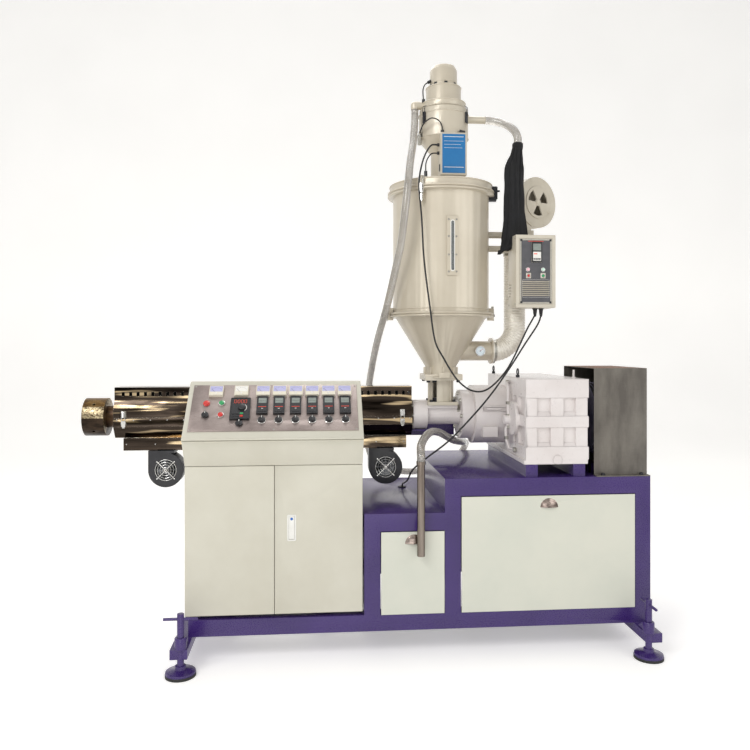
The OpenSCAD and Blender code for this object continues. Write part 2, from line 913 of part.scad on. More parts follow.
// Outline of the lower cover in Y and Z, drawn in by inset
function lower_outline(inset) = [[-cover_half + inset, axis_z],
  [-cover_half + inset, axis_z - lower_shoulder], [-floor_half + inset / 2, cover_floor + inset],
  [floor_half - inset / 2, cover_floor + inset],
  [cover_half - inset, axis_z - lower_shoulder], [cover_half - inset, axis_z]];

// Outline of the upper cover with the vented box on top
function upper_outline(inset) = [[cover_half - inset, axis_z + play],
  [cover_half - inset, axis_z + upper_shoulder], [box_half - inset, axis_z + upper_roof - inset / 2],
  [box_half - inset, axis_z + cover_rise - inset], [-box_half + inset, axis_z + cover_rise - inset],
  [-box_half + inset, axis_z + upper_roof - inset / 2],
  [-cover_half + inset, axis_z + upper_shoulder], [-cover_half + inset, axis_z + play]];

module lower_cover() {
  color("#b5afa4") {
    difference() {
      profile_x(cover_left, cover_right, lower_outline(0));
      up(gap / 10) profile_x(cover_left + sheet, cover_right - sheet, lower_outline(sheet));
      along_x(cover_left - over, cover_right + over, barrel_r + play);
      for (x = fan_duct_x) block([x - cover_duct_l / 2 + sheet, -floor_half + 2 * sheet, cover_floor - over],
           [x + cover_duct_l / 2 - sheet, floor_half - 2 * sheet, cover_floor + 2 * sheet]);
    }
    for (k = [0 : len(fan_duct_x) - 1]) cover_duct(fan_duct_x[k], fan_x[k]);
    for (x = latch_x) latch(x);
    for (x = latch_x) {
      hinge_knuckle(x - hinge_w * 3 / 2, hinge_w, -1);
      hinge_knuckle(x + hinge_w / 2, hinge_w, -1);
      rod_x([x - hinge_w, hinge_y, hinge_z], 2 * hinge_w, hinge_pin_r);
    }
  }
}

// One knuckle of a cover hinge with its leaf, above the seam for side 1 and below it for side -1
module hinge_knuckle(x, w, side) {
  difference() {
    union() {
      rod_x([x, hinge_y, hinge_z], w, hinge_r);
      block([x, cover_half, side > 0 ? hinge_z : hinge_z - 3 * hinge_r],
         [x + w, cover_half + sheet, side > 0 ? hinge_z + 3 * hinge_r : hinge_z]);
    }
    if (side > 0) rod_x([x - over, hinge_y, hinge_z], w + 2 * over, hinge_pin_r + running);
  }
}

// Duct box between a fan and the lower cover
module cover_duct(x, outlet_x) {
  top = cover_floor;
  difference() {
    block([x - cover_duct_l / 2, -cover_duct_half, top - cover_duct_h],
       [x + cover_duct_l / 2, cover_duct_half, top]);
    block([x - cover_duct_l / 2 + sheet, -cover_duct_half + sheet, top - cover_duct_h + sheet],
       [x + cover_duct_l / 2 - sheet, cover_duct_half - sheet, top - sheet]);
    block([x - cover_duct_l / 2 + 2 * sheet, -floor_half + 2 * sheet, top - 2 * sheet],
       [x + cover_duct_l / 2 - 2 * sheet, floor_half - 2 * sheet, top + over]);
    block([outlet_x - fan_r / 2, -fan_front + 2 * fan_rim, top - cover_duct_h - over],
       [outlet_x + fan_r / 2, -fan_front + fan_depth - 2 * fan_rim, top - cover_duct_h + 2 * sheet]);
  }
}

// Toggle latch on the front of the lower cover
module latch(x) {
  z = axis_z - lower_shoulder / 2;
  block([x - latch_w / 2, -cover_half - latch_t, z - latch_h / 2], [x + latch_w / 2, -cover_half, z]);
  block([x - latch_w / 4, -cover_half - 2 * latch_t, z - latch_h], [x + latch_w / 4, -cover_half - latch_t, z]);
}

module upper_cover() {
  color("#bcb6aa") {
    difference() {
      profile_x(cover_left, cover_right, upper_outline(0));
      up(-gap / 10) profile_x(cover_left + sheet, cover_right - sheet, upper_outline(sheet));
      along_x(cover_left - over, cover_right + over, barrel_r + play);
      for (side = [-1, 1], k = [0 : vent_count - 1])
        translate([cover_left + vent_margin + k * vent_pitch, side * box_half,
             axis_z + (upper_roof + cover_rise) / 2]) cube([vent_w, 4 * sheet, vent_h], center = true);
    }
    for (x = latch_x) {
      block([x - latch_w / 2, -cover_half - latch_t, axis_z + gap],
         [x + latch_w / 2, -cover_half, axis_z + upper_shoulder - gap]);
      hinge_knuckle(x - hinge_w / 2 + play, hinge_w - 2 * play, 1);
    }
    along_y([cover_right - knob_inset, -box_half - 3 * hinge_r, axis_z + cover_rise - 3 * vent_h / 2],
        3 * hinge_r, hinge_r);
  }
}

// Scroll outline of a cooling fan: a round drum with a square upper left corner
module fan_outline(r) {
  circle(r = r);
  translate([-r, 0]) square([r, r]);
}

module fan_case(x) {
  translate([x, -fan_front, fan_z]) rotate([90, 0, 180]) mirror([1, 0, 0]) {
    difference() {
      linear_extrude(fan_depth) fan_outline(fan_r);
      up(fan_rim) cylinder(h = fan_depth - 2 * fan_rim, r = fan_wheel_r + 5 * fan_rim);
      hole(fan_rim, fan_inlet_r);
      up(fan_depth - 2 * fan_rim) cylinder(h = 3 * fan_rim, r = fan_shaft_r + running);
      translate([-fan_r / 2, 0, 2 * fan_rim]) cube([fan_r, fan_r + over, fan_depth - 4 * fan_rim]);
    }
    up(fan_depth) difference() {
      cylinder(h = fan_motor_l, r = fan_r / 2);
      up(-over) cylinder(h = fan_motor_l / 2, r = fan_shaft_r + running);
    }
    for (turn = [45, 135]) spin(turn) translate([-fan_wheel_r - 3 * fan_rim, -guard_wire, -2 * guard_wire])
        cube([2 * fan_wheel_r + 6 * fan_rim, 2 * guard_wire, 2 * guard_wire]);
    up(-guard_wire / 2) rotate_extrude() translate([fan_wheel_r - 2 * fan_rim, 0])
      circle(r = guard_wire, $fn = 12);
    for (turn = [45 : 90 : 315])
      spin(turn) rod([fan_wheel_r + 2 * fan_rim, 0, -3 * guard_wire], 3 * guard_wire, 2 * guard_wire);
  }
  neck_top = cover_floor - cover_duct_h;
  difference() {
    block([x - fan_r, -fan_front, fan_z + fan_r - fan_rim], [x + fan_r / 2, -fan_front + fan_depth, neck_top]);
    block([x - fan_r / 2, -fan_front + 2 * fan_rim, fan_z + fan_r - 2 * fan_rim],
       [x + fan_r / 2 - fan_rim, -fan_front + fan_depth - 2 * fan_rim, neck_top + over]);
  }
}

module fan_housings() {
  color("#2c2c31") for (x = fan_x) fan_case(x);
}

module fan_wheel(k) {
  color("#4a4a50") translate([fan_x[k - 1], -fan_front + 2 * fan_rim, fan_z]) rotate([-90, 0, 0]) {
    difference() {
      cylinder(h = fan_wheel_w, r = fan_wheel_r);
      up(-over) cylinder(h = fan_wheel_w - fan_rim + over, r = fan_wheel_r - 3 * fan_rim);
    }
    for (n = [0 : fan_blades - 1])
      spin(360 * n / fan_blades) translate([fan_shaft_r - fan_rim, -fan_rim / 2, fan_rim])
        cube([fan_wheel_r - fan_rim - fan_shaft_r, fan_rim, fan_wheel_w - 2 * fan_rim]);
    cylinder(h = fan_depth + fan_motor_l / 4, r = fan_shaft_r);
  }
}

// Feed section, screw and gearbox

module feed_section() {
  color("#dcdbdc") difference() {
    union() {
      along_x(barrel_right, barrel_right + feed_flange_length, feed_flange_r);
      along_x(feed_body_left, feed_right, feed_body_r);
      block([hopper_x - throat_half, -feed_body_r + gap, axis_z],
         [hopper_x + throat_half, feed_body_r - gap, throat_z]);
      block([hopper_x - throat_half, -throat_r, throat_z - throat_flange_t],
         [hopper_x + throat_half, throat_r, throat_z]);
      along_x(feed_right, thrust_left, main_flange_r);
      bolt_circle_x(feed_right - bolt_h, bolt_h, main_flange_r - 2 * bolt_r, bolt_r, 8);
      bolt_circle_x(barrel_right - bolt_h / 2, bolt_h / 2, feed_flange_r - bolt_r, bolt_r * 0.7, 8);
    }
    along_x(barrel_right - over, thrust_left + over, bore_r);
    block([hopper_x - throat_half - gap, -throat_r, throat_z], [hopper_x + throat_half + gap, throat_r,
       throat_z + gap + over]);
    rod([hopper_x, 0, axis_z], throat_z - axis_z + over, feed_hole_r);
  }
}

module thrust_housing() {
  thrust_r = thrust_d / 2;
  color("#dfddde") difference() {
    union() {
      along_x(thrust_left, gear_left, thrust_r);
      block([thrust_left + pad_inset, -thrust_r - pad_rise, axis_z + pad_z],
         [gear_left - pad_rise, -thrust_r + pad_inset, axis_z + pad_z + pad_rise * 5]);
      block([thrust_left + pad_inset, -thrust_r - pad_rise, axis_z - 2 * pad_z - pad_h],
         [gear_left - 2 * pad_inset, -thrust_r + 2 * pad_inset, axis_z - 2 * pad_z]);
    }
    along_x(thrust_left - over, gear_left + over, bore_r);
    block([thrust_left + pad_inset + gap, -thrust_r - 2 * pad_rise, axis_z + pad_z + pad_rise],
       [gear_left - 2 * pad_rise, -thrust_r + pad_rise, axis_z + pad_z + pad_rise * 4]);
  }
}

// One face wall of the gearbox with its slabs, pillars and recesses, run back along Y
module gearbox_body() {
  width = gear_length;
  height = gear_height;
  block([gear_left + recess, -gear_front + recess, gear_z + recess],
     [gear_right - recess, gear_back - recess, gear_top - gap]);
  for (s = slab_shares) block([gear_left, -gear_front, gear_z + s[0] * height],
       [gear_right, gear_back, gear_z + s[1] * height]);
  block([gear_left - recess / 2, -gear_front, gear_z],
     [gear_right - recess / 2, gear_back, gear_z + 0.05 * height]);
  for (s = pillar_shares) block([gear_left + s[0] * width, -gear_front + recess / 4, gear_z],
       [gear_left + s[1] * width, gear_back - recess / 4, gear_top - recess]);
  depth = gear_front + gear_back;
  for (s = side_pillar_shares) block([gear_left + recess / 4, -gear_front + s[0] * depth, gear_z],
       [gear_right - recess / 4, -gear_front + s[1] * depth, gear_top - recess]);
}

module shaft_boss(x0, length, y, r) {
  rod_x([x0, y, axis_z], length, r);
}

module eyebolt(x, y) {
  translate([x, y, gear_top]) {
    cylinder(h = eye_wire * 2, r = eye_wire * 1.5);
    up(eye_wire + eye_r) lie() rotate_extrude()
      translate([eye_r - eye_wire, 0]) circle(r = eye_wire / 2, $fn = 16);
  }
}

module gearbox_housing() {
  pump_x = gear_left - pump_length;
  pump_y = -thrust_d / 2 - 2 * pump_r;
  pump_z = axis_z - pump_r / 2;
  pipe_x = pump_x + pump_r;
  color("#e4dedd") {
    difference() {
      union() {
        gearbox_body();
        shaft_boss(gear_left - boss_t, boss_t + recess, -thrust_d / 2 - pad_rise - boss_r - gap, boss_r);
        shaft_boss(gear_right - recess, recess + boss_t, shaft_y, boss_r);
        shaft_boss(gear_right - recess, recess + boss_t / 2, 0, boss_r);
      }
      shaft_boss(gear_left - boss_t - over, gear_length - 2 * recess, 0, bore_r);
      shaft_boss(gear_right - gear_length / 2, gear_length, shaft_y, gear_shaft_r + running);
    }
    rod_x([pump_x, pump_y, pump_z], pump_length + over, pump_r);
    cord([[pipe_x, pump_y, pump_z + pump_r - gap], [pipe_x, pump_y, pump_z + 4 * pump_r],
       [pipe_x, pump_y + gap, gear_top - 2 * pump_r], [pipe_x, pump_y + pump_r, gear_top - pump_r * 1.2],
       [gear_left + gap, pump_y + 3 * pump_r, gear_top - pump_r * 1.2]], pipe_r, 10);
    cord([[pipe_x, pump_y, pump_z - pump_r + gap], [pump_x + pump_r / 2, pump_y, pump_z - 2 * pump_r],
       [pump_x + pump_r / 2, pump_y - gap, gear_z + 4 * pump_r],
       [pipe_x, pump_y - pump_r, gear_z + 2 * pump_r],
       [gear_left + gap, pump_y - 3 * pump_r, gear_z + 2 * pump_r]], pipe_r, 10);
    eyebolt(gear_left + eye_r, shaft_y);
    eyebolt(gear_left + eye_r, gear_back - 2 * eye_r);
    translate([gear_right - 2 * breather_h / 2, -gear_front + 2 * breather_h, gear_top - over]) {
      cylinder(h = breather_h, r = breather_r);
      cylinder(h = breather_h / 5, r = 2 * breather_r);
    }
    along_y([(gear_left + gear_right) / 2, -gear_front - breather_r, gear_z + breather_h / 2],
        2 * breather_r, 4 * breather_r);
  }
}

// One cross section of the screw, turned on by one step for each ring
function screw_ring(k) = [for (f = flight_shares)
    let (a = 360 * (f[0] + k / flight_steps), r = screw_root_r + f[1] * (screw_r - screw_root_r))
    [flight_left + k * flight_pitch / flight_steps, r * cos(a), axis_z + r * sin(a)]];

module screw() {
  rings = floor((flight_right - flight_left) * flight_steps / flight_pitch);
  shank_left = flight_left + (rings - 1) * flight_pitch / flight_steps;
  color("#9a9a9c") {
    polyhedron(points = [for (k = [0 : rings - 1]) each screw_ring(k)],
      faces = closed_faces(rings, len(flight_shares)));
    along_x(shank_left - over, gear_left + gear_length / 2, screw_r);
    translate([flight_left + over, 0, axis_z]) rotate([0, -90, 0])
      cylinder(h = screw_r, r1 = screw_root_r - 2 * gap, r2 = gap);
  }
}

// A grooved belt pulley, turned in the plane of radius and width
module pulley(z, d, shaft_left, shaft_right, shaft_r) {
  r = d / 2;
  translate([0, shaft_y, z]) lie() {
    up(pulley_left) rotate_extrude() polygon(concat([[0, 0], [r, 0]],
      [for (k = [0 : belts - 1]) let (middle = (k + 0.5) * pulley_w / belts) each [
        [r, middle - belt_w / 2 - gap / 2], [r - belt_depth, middle - belt_w / 2 - gap / 2],
        [r - belt_depth, middle + belt_w / 2 + gap / 2], [r, middle + belt_w / 2 + gap / 2]]],
      [[r, pulley_w], [0, pulley_w]]));
    up(shaft_left) cylinder(h = shaft_right - shaft_left, r = shaft_r);
  }
}

module gearbox_pulley() {
  color("#79768e") pulley(axis_z, big_pulley_d, gear_right - gear_length / 2 + recess,
              pulley_right + gap, gear_shaft_r);
}

module motor_pulley() {
  color("#79768e") pulley(motor_height, small_pulley_d, motor_left + motor_length / 2, pulley_right + gap,
              motor_shaft_r);
}

// One belt as a band round both pulleys, clear of the groove floors
module belt(x) {
  outer = belt_depth - belt_h - play;
  inner = belt_depth - play;
  translate([x - belt_w / 2, shaft_y, 0]) rotate([90, 0, 90]) linear_extrude(belt_w) difference() {
    belt_loop(outer);
    belt_loop(inner);
  }
}

module belt_loop(depth) {
  hull() {
    translate([0, axis_z]) circle(r = big_pulley_d / 2 - depth, $fn = 96);
    translate([0, motor_height]) circle(r = small_pulley_d / 2 - depth, $fn = 96);
  }
}

module drive_belts() {
  color("#232326") for (k = [0 : belts - 1]) belt(pulley_left + (k + 0.5) * pulley_w / belts);
}

module motor() {
  color("#3a4a66") difference() {
    union() {
      rod_x([motor_left, shaft_y, motor_height], motor_length, motor_r);
      rod_x([motor_left - motor_cap, shaft_y, motor_height], motor_cap, motor_r - 3 * gap);
      for (n = [0 : motor_fins - 1])
        translate([motor_left + motor_cap, shaft_y, motor_height]) rotate([360 * n / motor_fins, 0, 0])
          translate([0, -gap, 0]) cube([motor_length - 2 * motor_cap, 2 * gap, motor_r + 3 * gap]);
      for (x = motor_foot_x)
        block([x, shaft_y - motor_r, low_top], [x + motor_cap, shaft_y + motor_r, motor_height - motor_r / 2]);
      block([motor_left + motor_length / 2, shaft_y - motor_cap, motor_height + motor_r - motor_cap],
         [motor_left + motor_length / 2 + 2 * motor_cap, shaft_y + motor_cap,
         motor_height + motor_r + motor_cap]);
    }
    rod_x([motor_left + motor_length / 2 - gap, shaft_y, motor_height], motor_length, motor_shaft_r + running);
  }
}

module belt_guard() {
  color("#69625c") {
    difference() {
      block([guard_left, guard_front, deck_z], [guard_right, guard_back, guard_top]);
      block([guard_left - over, guard_front + sheet, deck_z - over],
         [guard_right - sheet, guard_back - sheet, guard_top - sheet]);
    }
    for (y = [guard_front - guard_flange, guard_back]) difference() {
      block([guard_left, y, deck_z], [guard_right, y + guard_flange, deck_z + 2 * sheet]);
      for (x = [guard_left + guard_flange, guard_right - guard_flange])
        rod([x, y + guard_flange / 2, deck_z - over], guard_flange, guard_hole_r);
    }
  }
}

// Hopper dryer

module at_hopper(turn) {
  translate([hopper_x, 0, 0]) spin(turn) children();
}

module disc(z, h, r) {
  up(z) cylinder(h = h, r = r);
}

module square_flange(z, t) {
  block([hopper_x - square_half, -square_half, z], [hopper_x + square_half, square_half, z + t]);
}

module corner_bolts(z, half) {
  for (x = [-half, half], y = [-half, half])
    translate([hopper_x + x, y, z]) cylinder(h = bolt_h, r = bolt_r, $fn = 6);
}

module hopper_throat() {
  sight_bottom = throat_z + throat_flange_t + bolt_h * 2;
  color("#c9c4ba") {
    difference() {
      union() {
        block([hopper_x - throat_half, -throat_half, throat_z],
           [hopper_x + throat_half, throat_half, throat_z + throat_flange_t]);
        at_hopper(0) disc(throat_z, throat_top - throat_z, throat_r);
        square_flange(throat_top - flange_t, flange_t);
        for (k = [0 : flutes - 1]) at_hopper(360 * k / flutes)
            block([-flute_w / 2, -throat_r - flute_h, throat_z + throat_flange_t],
               [flute_w / 2, -throat_r + flute_h, throat_top - flange_t]);
      }
      at_hopper(0) disc(throat_z - over, throat_top - throat_z + 2 * over, throat_bore);
      at_hopper(throat_sight_turn) block([-throat_sight_w / 2, -square_half, sight_bottom],
           [throat_sight_w / 2, -throat_bore / 2, sight_bottom + throat_sight_h]);
    }
    inner = gate_half + play;
    for (side = [-1, 1])
      translate([hopper_x + side * (inner + square_half) / 2, 0, throat_top + gate_slot / 2])
        cube([square_half - inner, 2 * square_half, gate_slot], center = true);
    block([hopper_x - inner - over, throat_bore + gate_lap + play, throat_top],
       [hopper_x + inner + over, square_half, cone_flange]);
  }
  color("#2a2a2d") corner_bolts(throat_z + throat_flange_t, throat_half - 2 * bolt_r);
  color("#2a2a2d") corner_bolts(throat_top - flange_t - bolt_h, square_half - 2 * bolt_r);
}

module slide_gate() {
  front = -square_half - gate_reach;
  z = throat_top + play;
  color("#8f8a80") {
    block([hopper_x - gate_half, front, z], [hopper_x + gate_half, throat_bore + gate_lap, z + gate_t]);
    block([hopper_x - gate_half / 2, front - gate_t, z], [hopper_x + gate_half / 2, front, z + gate_lip]);
  }
}

module hopper_cone() {
  inner_r = outlet_r - hopper_wall;
  color("#c0b9a9") difference() {
    union() {
      square_flange(cone_flange, flange_t);
      at_hopper(0) {
        disc(cone_flange, cone_bottom - cone_flange, outlet_r);
        up(cone_bottom) cylinder(h = cone_height, r1 = outlet_r, r2 = cone_r);
        disc(cone_top, flange_t, joint_r);
        rod_x([0, 0, inlet_z], inlet_right - hopper_x, inlet_r);
        rod_x([inlet_right - hopper_x - flange_t / 2, 0, inlet_z], flange_t / 2, inlet_flange_r);
      }
      for (k = [0 : flutes - 1]) at_hopper(360 * k / flutes)
          block([-flute_w / 2, -outlet_r - 3 * flute_h, cone_flange + flange_t],
             [flute_w / 2, -outlet_r + flute_h, cone_bottom - flute_h]);
    }
    at_hopper(0) {
      disc(cone_flange - over, flange_t + 2 * over, throat_bore);
      disc(cone_flange + flange_t, cone_bottom - cone_flange - flange_t, inner_r);
      up(cone_bottom) cylinder(h = cone_height, r1 = inner_r, r2 = cone_r - hopper_wall);
      disc(cone_top, flange_t + over, cone_r - hopper_wall);
      rod_x([0, 0, inlet_z], inlet_right - hopper_x + over, inlet_r - hopper_wall);
    }
  }
}

module hopper_cylinder() {
  color("#d1c8b4") at_hopper(0) difference() {
    union() {
      disc(drum_bottom, hopper_height, hopper_r);
      disc(drum_bottom, flange_t, joint_r);
      disc(drum_top - flange_t, flange_t, rim_r);
    }
    disc(drum_bottom - over, hopper_height + 2 * over, hopper_r - hopper_wall);
    spin(sight_turn) block([-sight_slot_w / 2, -hopper_r - over, sight_z - sight_slot_h / 2],
         [sight_slot_w / 2, -hopper_r / 2, sight_z + sight_slot_h / 2]);
  }
}

module hopper_lid() {
  color("#c9c1ae") {
    at_hopper(0) difference() {
      union() {
        disc(drum_top, clamp_ring_h, rim_r);
        disc(drum_top + clamp_ring_h, lid_h, joint_r);
      }
      disc(drum_top - over, clamp_ring_h + lid_h - sheet, hopper_r - hopper_wall);
    }
  }
  plug = last(sensor_lead_route);
  color("#1b1b1e") gland(plug, plug + [0, 0, over], plug[2] - lid_top, gland_r);
}

// Everything that is bolted on the hopper skin
module hopper_fittings() {
  color("#bdb5a3") difference() {
    at_hopper(sight_turn) difference() {
      block([-sight_w / 2, -hopper_r - 3 * sheet, sight_z - sight_h / 2],
         [sight_w / 2, -hopper_r + 2 * sheet, sight_z + sight_h / 2]);
      block([-sight_slot_w / 2, -hopper_r - 4 * sheet, sight_z - sight_slot_h / 2],
         [sight_slot_w / 2, -hopper_r + 3 * sheet, sight_z + sight_slot_h / 2]);
    }
    at_hopper(0) disc(drum_bottom, hopper_height, hopper_r);
  }
  color("#3a3a36") at_hopper(sight_turn)
    block([-sight_slot_w / 2, -hopper_r - 2 * sheet, sight_z - sight_slot_h / 2],
       [sight_slot_w / 2, -hopper_r - sheet, sight_z + sight_slot_h / 2]);
  color("#8e897e") toggle_clip();
  color("#2a2a2d") rim_clamp();
  color("#a39c8c") for (turn = joint_clamp_turns) joint_clamp(turn);
  color("#dcd8cc") difference() {
    union() {
      along_y([dial_x, -inlet_flange_r, inlet_z], inlet_flange_r - inlet_r + gap, gland_r);
      along_y([dial_x, -inlet_flange_r - flange_t, inlet_z], flange_t, dial_r);
    }
    rod_x([hopper_x, 0, inlet_z], inlet_right - hopper_x, inlet_r);
  }
}

// Long toggle latch that holds the lid at the front left
module toggle_clip() {
  plate_z = drum_top - 2 * clip_w;
  difference() {
    at_hopper(latch_turn) {
      block([-gate_lip / 3, -rim_r - gap, plate_z], [gate_lip / 3, -hopper_r + gap, plate_z + clip_w]);
      block([-gate_lip / 3, -rim_r - 3 * gap, plate_z - gap], [gate_lip / 3, -rim_r - gap, lid_top + 3 * gap]);
      block([-gate_lip / 3, -rim_r - 3 * gap, lid_top], [gate_lip / 3, -hopper_r, lid_top + 3 * gap]);
    }
    at_hopper(0) disc(drum_bottom, hopper_height, hopper_r);
  }
}

// Black clamp over the rim and the lid ring
module rim_clamp() {
  difference() {
    at_hopper(clamp_turn) block([-clip_w / 2, -rim_r - clip_w / 2, drum_top - clip_w],
         [clip_w / 2, -hopper_r - gap, lid_top - gap]);
    at_hopper(0) {
      disc(drum_top - flange_t, flange_t + clamp_ring_h, rim_r);
      disc(drum_top, lid_h + clamp_ring_h, joint_r);
    }
  }
}

// Clamp over the two flanges between the cone and the cylinder
module joint_clamp(turn) {
  difference() {
    at_hopper(turn) block([-clip_w / 2, -joint_r - flange_t, cone_top - flange_t],
         [clip_w / 2, -hopper_r - gap, drum_bottom + 3 * flange_t]);
    at_hopper(0) disc(cone_top, 2 * flange_t, joint_r);
  }
}

// Ribbed air duct, a quarter bend and a straight run

module duct_bend_body(r) {
  translate([bend_x, 0, inlet_z + duct_bend]) rotate([90, 0, 0]) spin(-90)
    rotate_extrude(angle = 90) translate([duct_bend, 0]) circle(r = r);
}

module air_duct() {
  core_r = duct_r - duct_rib;
  inner_r = core_r - duct_rib / 2;
  bend_z = inlet_z + duct_bend;
  bend_ribs = round(duct_ribs * 90 * duct_bend / (90 * duct_bend + (duct_top - bend_z) * 180 / PI));
  straight_ribs = duct_ribs - bend_ribs;
  pitch = (duct_top - bend_z) / straight_ribs;
  color("#e6e2d6") difference() {
    union() {
      duct_bend_body(core_r);
      rod([duct_x, 0, bend_z], duct_top - bend_z, core_r);
      rod_x([inlet_right, 0, inlet_z], bend_x - inlet_right, inlet_flange_r);
      for (k = [0 : straight_ribs - 2])
        translate([duct_x, 0, bend_z + (k + 1) * pitch]) cylinder(h = duct_rib, r = duct_r, center = true);
      for (k = [0 : bend_ribs - 1])
        translate([bend_x, 0, bend_z]) rotate([0, -90 * (k + 0.7) / bend_ribs, 0])
          up(-duct_bend) lie() cylinder(h = duct_rib, r = duct_r, center = true);
    }
    duct_bend_body(inner_r);
    rod([duct_x, 0, bend_z - over / 10], duct_top - bend_z + over, inner_r);
    rod_x([inlet_right - over, 0, inlet_z], bend_x - inlet_right + over * 1.1, inner_r);
  }
}

module at_blower() {
  translate([blower_x, blower_y, blower_z]) spin(blower_turn) children();
}

// One curved opening of the shutter or of the plate behind it
module shutter_openings() {
  for (turn = [0 : 120 : 240]) spin(turn) difference() {
    circle(r = blower_inlet_r);
    circle(r = shutter_hub_r + 2 * gap);
    spin(56) translate([-2 * blower_r, 0]) square([4 * blower_r, 2 * blower_r]);
    translate([-2 * blower_r, -2 * blower_r]) square([4 * blower_r, 2 * blower_r]);
  }
}

module air_heater() {
  inner_r = blower_r - scroll_wall;
  color("#c4bfb4") difference() {
    union() {
      block([heater_left, -heater_half, duct_top], [heater_right, heater_half, duct_top + heater_h]);
      for (y = [-bar_gap, bar_gap - bar_t], z = [duct_top + bar_t, duct_top + heater_h - bar_h])
        block([hopper_x, y, z], [heater_left + over, y + bar_t, z + bar_h - bar_t]);
    }
    block([heater_left + sheet, -heater_half + sheet, duct_top + sheet],
       [heater_right - sheet, heater_half - sheet, duct_top + heater_h - sheet]);
    rod([duct_x, 0, duct_top - over], 3 * sheet, duct_r - 2 * duct_rib);
    at_hopper(0) disc(drum_bottom, hopper_height, hopper_r);
  }
  color("#9d99a0") difference() {
    union() {
      at_blower() {
        along_y([0, -blower_w / 2, 0], blower_w, blower_r);
        translate([scroll_outlet_x, 0, (duct_top + heater_h - blower_z) / 2])
          cube([blower_neck_w, blower_neck_w, blower_z - duct_top - heater_h], center = true);
        along_y([0, blower_w / 2, 0], blower_motor_l, blower_motor_r);
        for (turn = [22.5 : 45 : 337.5])
          rotate([0, turn, 0]) along_y([blower_r - bolt_h, -blower_w / 2 - gap, 0], 2 * gap, bolt_r / 2);
      }
    }
    at_blower() {
      along_y([0, -blower_w / 2 + scroll_wall, 0], blower_w - 2 * scroll_wall, inner_r);
      translate([scroll_outlet_x, 0, (duct_top + heater_h - blower_z) / 2 - over])
        cube([blower_neck_w - 2 * scroll_wall, blower_neck_w - 2 * scroll_wall,
           blower_z - duct_top - heater_h], center = true);
      translate([0, -blower_w / 2 + scroll_wall + over, 0]) rotate([90, 0, 0])
        linear_extrude(scroll_wall + 2 * over) shutter_openings();
      along_y([0, -blower_w / 2 - over, 0], scroll_wall + 2 * over, shutter_pin_r + running);
    }
  }
}

module air_shutter() {
  face = -blower_w / 2 - play;
  color("#b5b2b8") at_blower() {
    translate([0, face, 0]) rotate([90, 0, 0]) linear_extrude(shutter_t) difference() {
      union() {
        circle(r = shutter_r);
        spin(-30) translate([shutter_r - gap, -shutter_t]) square([shutter_tab, 2 * shutter_t]);
      }
      shutter_openings();
    }
    along_y([0, face - 2 * shutter_t, 0], shutter_t, shutter_hub_r);
    along_y([0, face - shutter_t, 0], shutter_t + play + scroll_wall + gap, shutter_pin_r);
  }
}

// Control box of the hopper dryer

module dryer_box() {
  right = dryer_left + dryer_w;
  bottom = dryer_top - dryer_h;
  front = -dryer_front;
  color("#d8d4ca") difference() {
    block([dryer_left, front, bottom], [right, -dryer_back, dryer_top]);
    difference() {
      block([dryer_left + door_margin, front - over, bottom + door_margin],
         [right - door_margin, front + sheet, dryer_top - door_margin]);
      block([dryer_left + door_margin + sheet, front - 2 * over, bottom + door_margin + sheet],
         [right - door_margin - sheet, front + 2 * sheet, dryer_top - door_margin - sheet]);
    }
    for (k = [0 : grille_slots - 1])
      block([dryer_left + grille_inset, front - over, bottom + grille_bottom + 2 * k * slot_h],
         [right - grille_inset, front + 2 * sheet, bottom + grille_bottom + (2 * k + 1) * slot_h]);
    for (k = [0 : side_slots - 1])
      block([dryer_left - over, (front - side_slot_w) / 2, bottom + grille_bottom + 3 * k * slot_h],
         [dryer_left + 2 * sheet, (front + side_slot_w) / 2, bottom + grille_bottom + (3 * k + 1) * slot_h]);
    for (x = dryer_button_x)
      along_y([x, front - over, dryer_button_z], dryer_button_h + over, dryer_button_r + play);
  }
  color("#1b1b1e") block([controller_x, front - controller_t, controller_z],
             [controller_x + controller_w, front, controller_z + controller_h]);
  for (k = [0, 1]) color(k == 0 ? "#c02020" : "#2f9a48")
      along_y([dryer_lamp_x[k], front - lamp_r, dryer_lamp_z], lamp_r, lamp_r);
  color("#2a2a2d") {
    gland(last(loader_cable_route), before_last(loader_cable_route), bottom - last(loader_cable_route)[2], gland_r);
    gland(supply_cable_route[0], supply_cable_route[1], bottom - supply_cable_route[0][2], gland_r);
  }
}

// A button that stands out by its travel and a little more, with room behind it
module dryer_button(x) {
  proud = dryer_button_travel + gap;
  along_y([x, -dryer_front - proud, dryer_button_z],
      proud + dryer_button_h - dryer_button_travel - over, dryer_button_r);
}

module dryer_start_button() {
  color("#2f9a48") dryer_button(dryer_button_x[1]);
}

module dryer_stop_button() {
  color("#c8302c") dryer_button(dryer_button_x[0]);
}

// Vacuum loader

module at_loader() {
  translate([loader_x, 0, 0]) children();
}

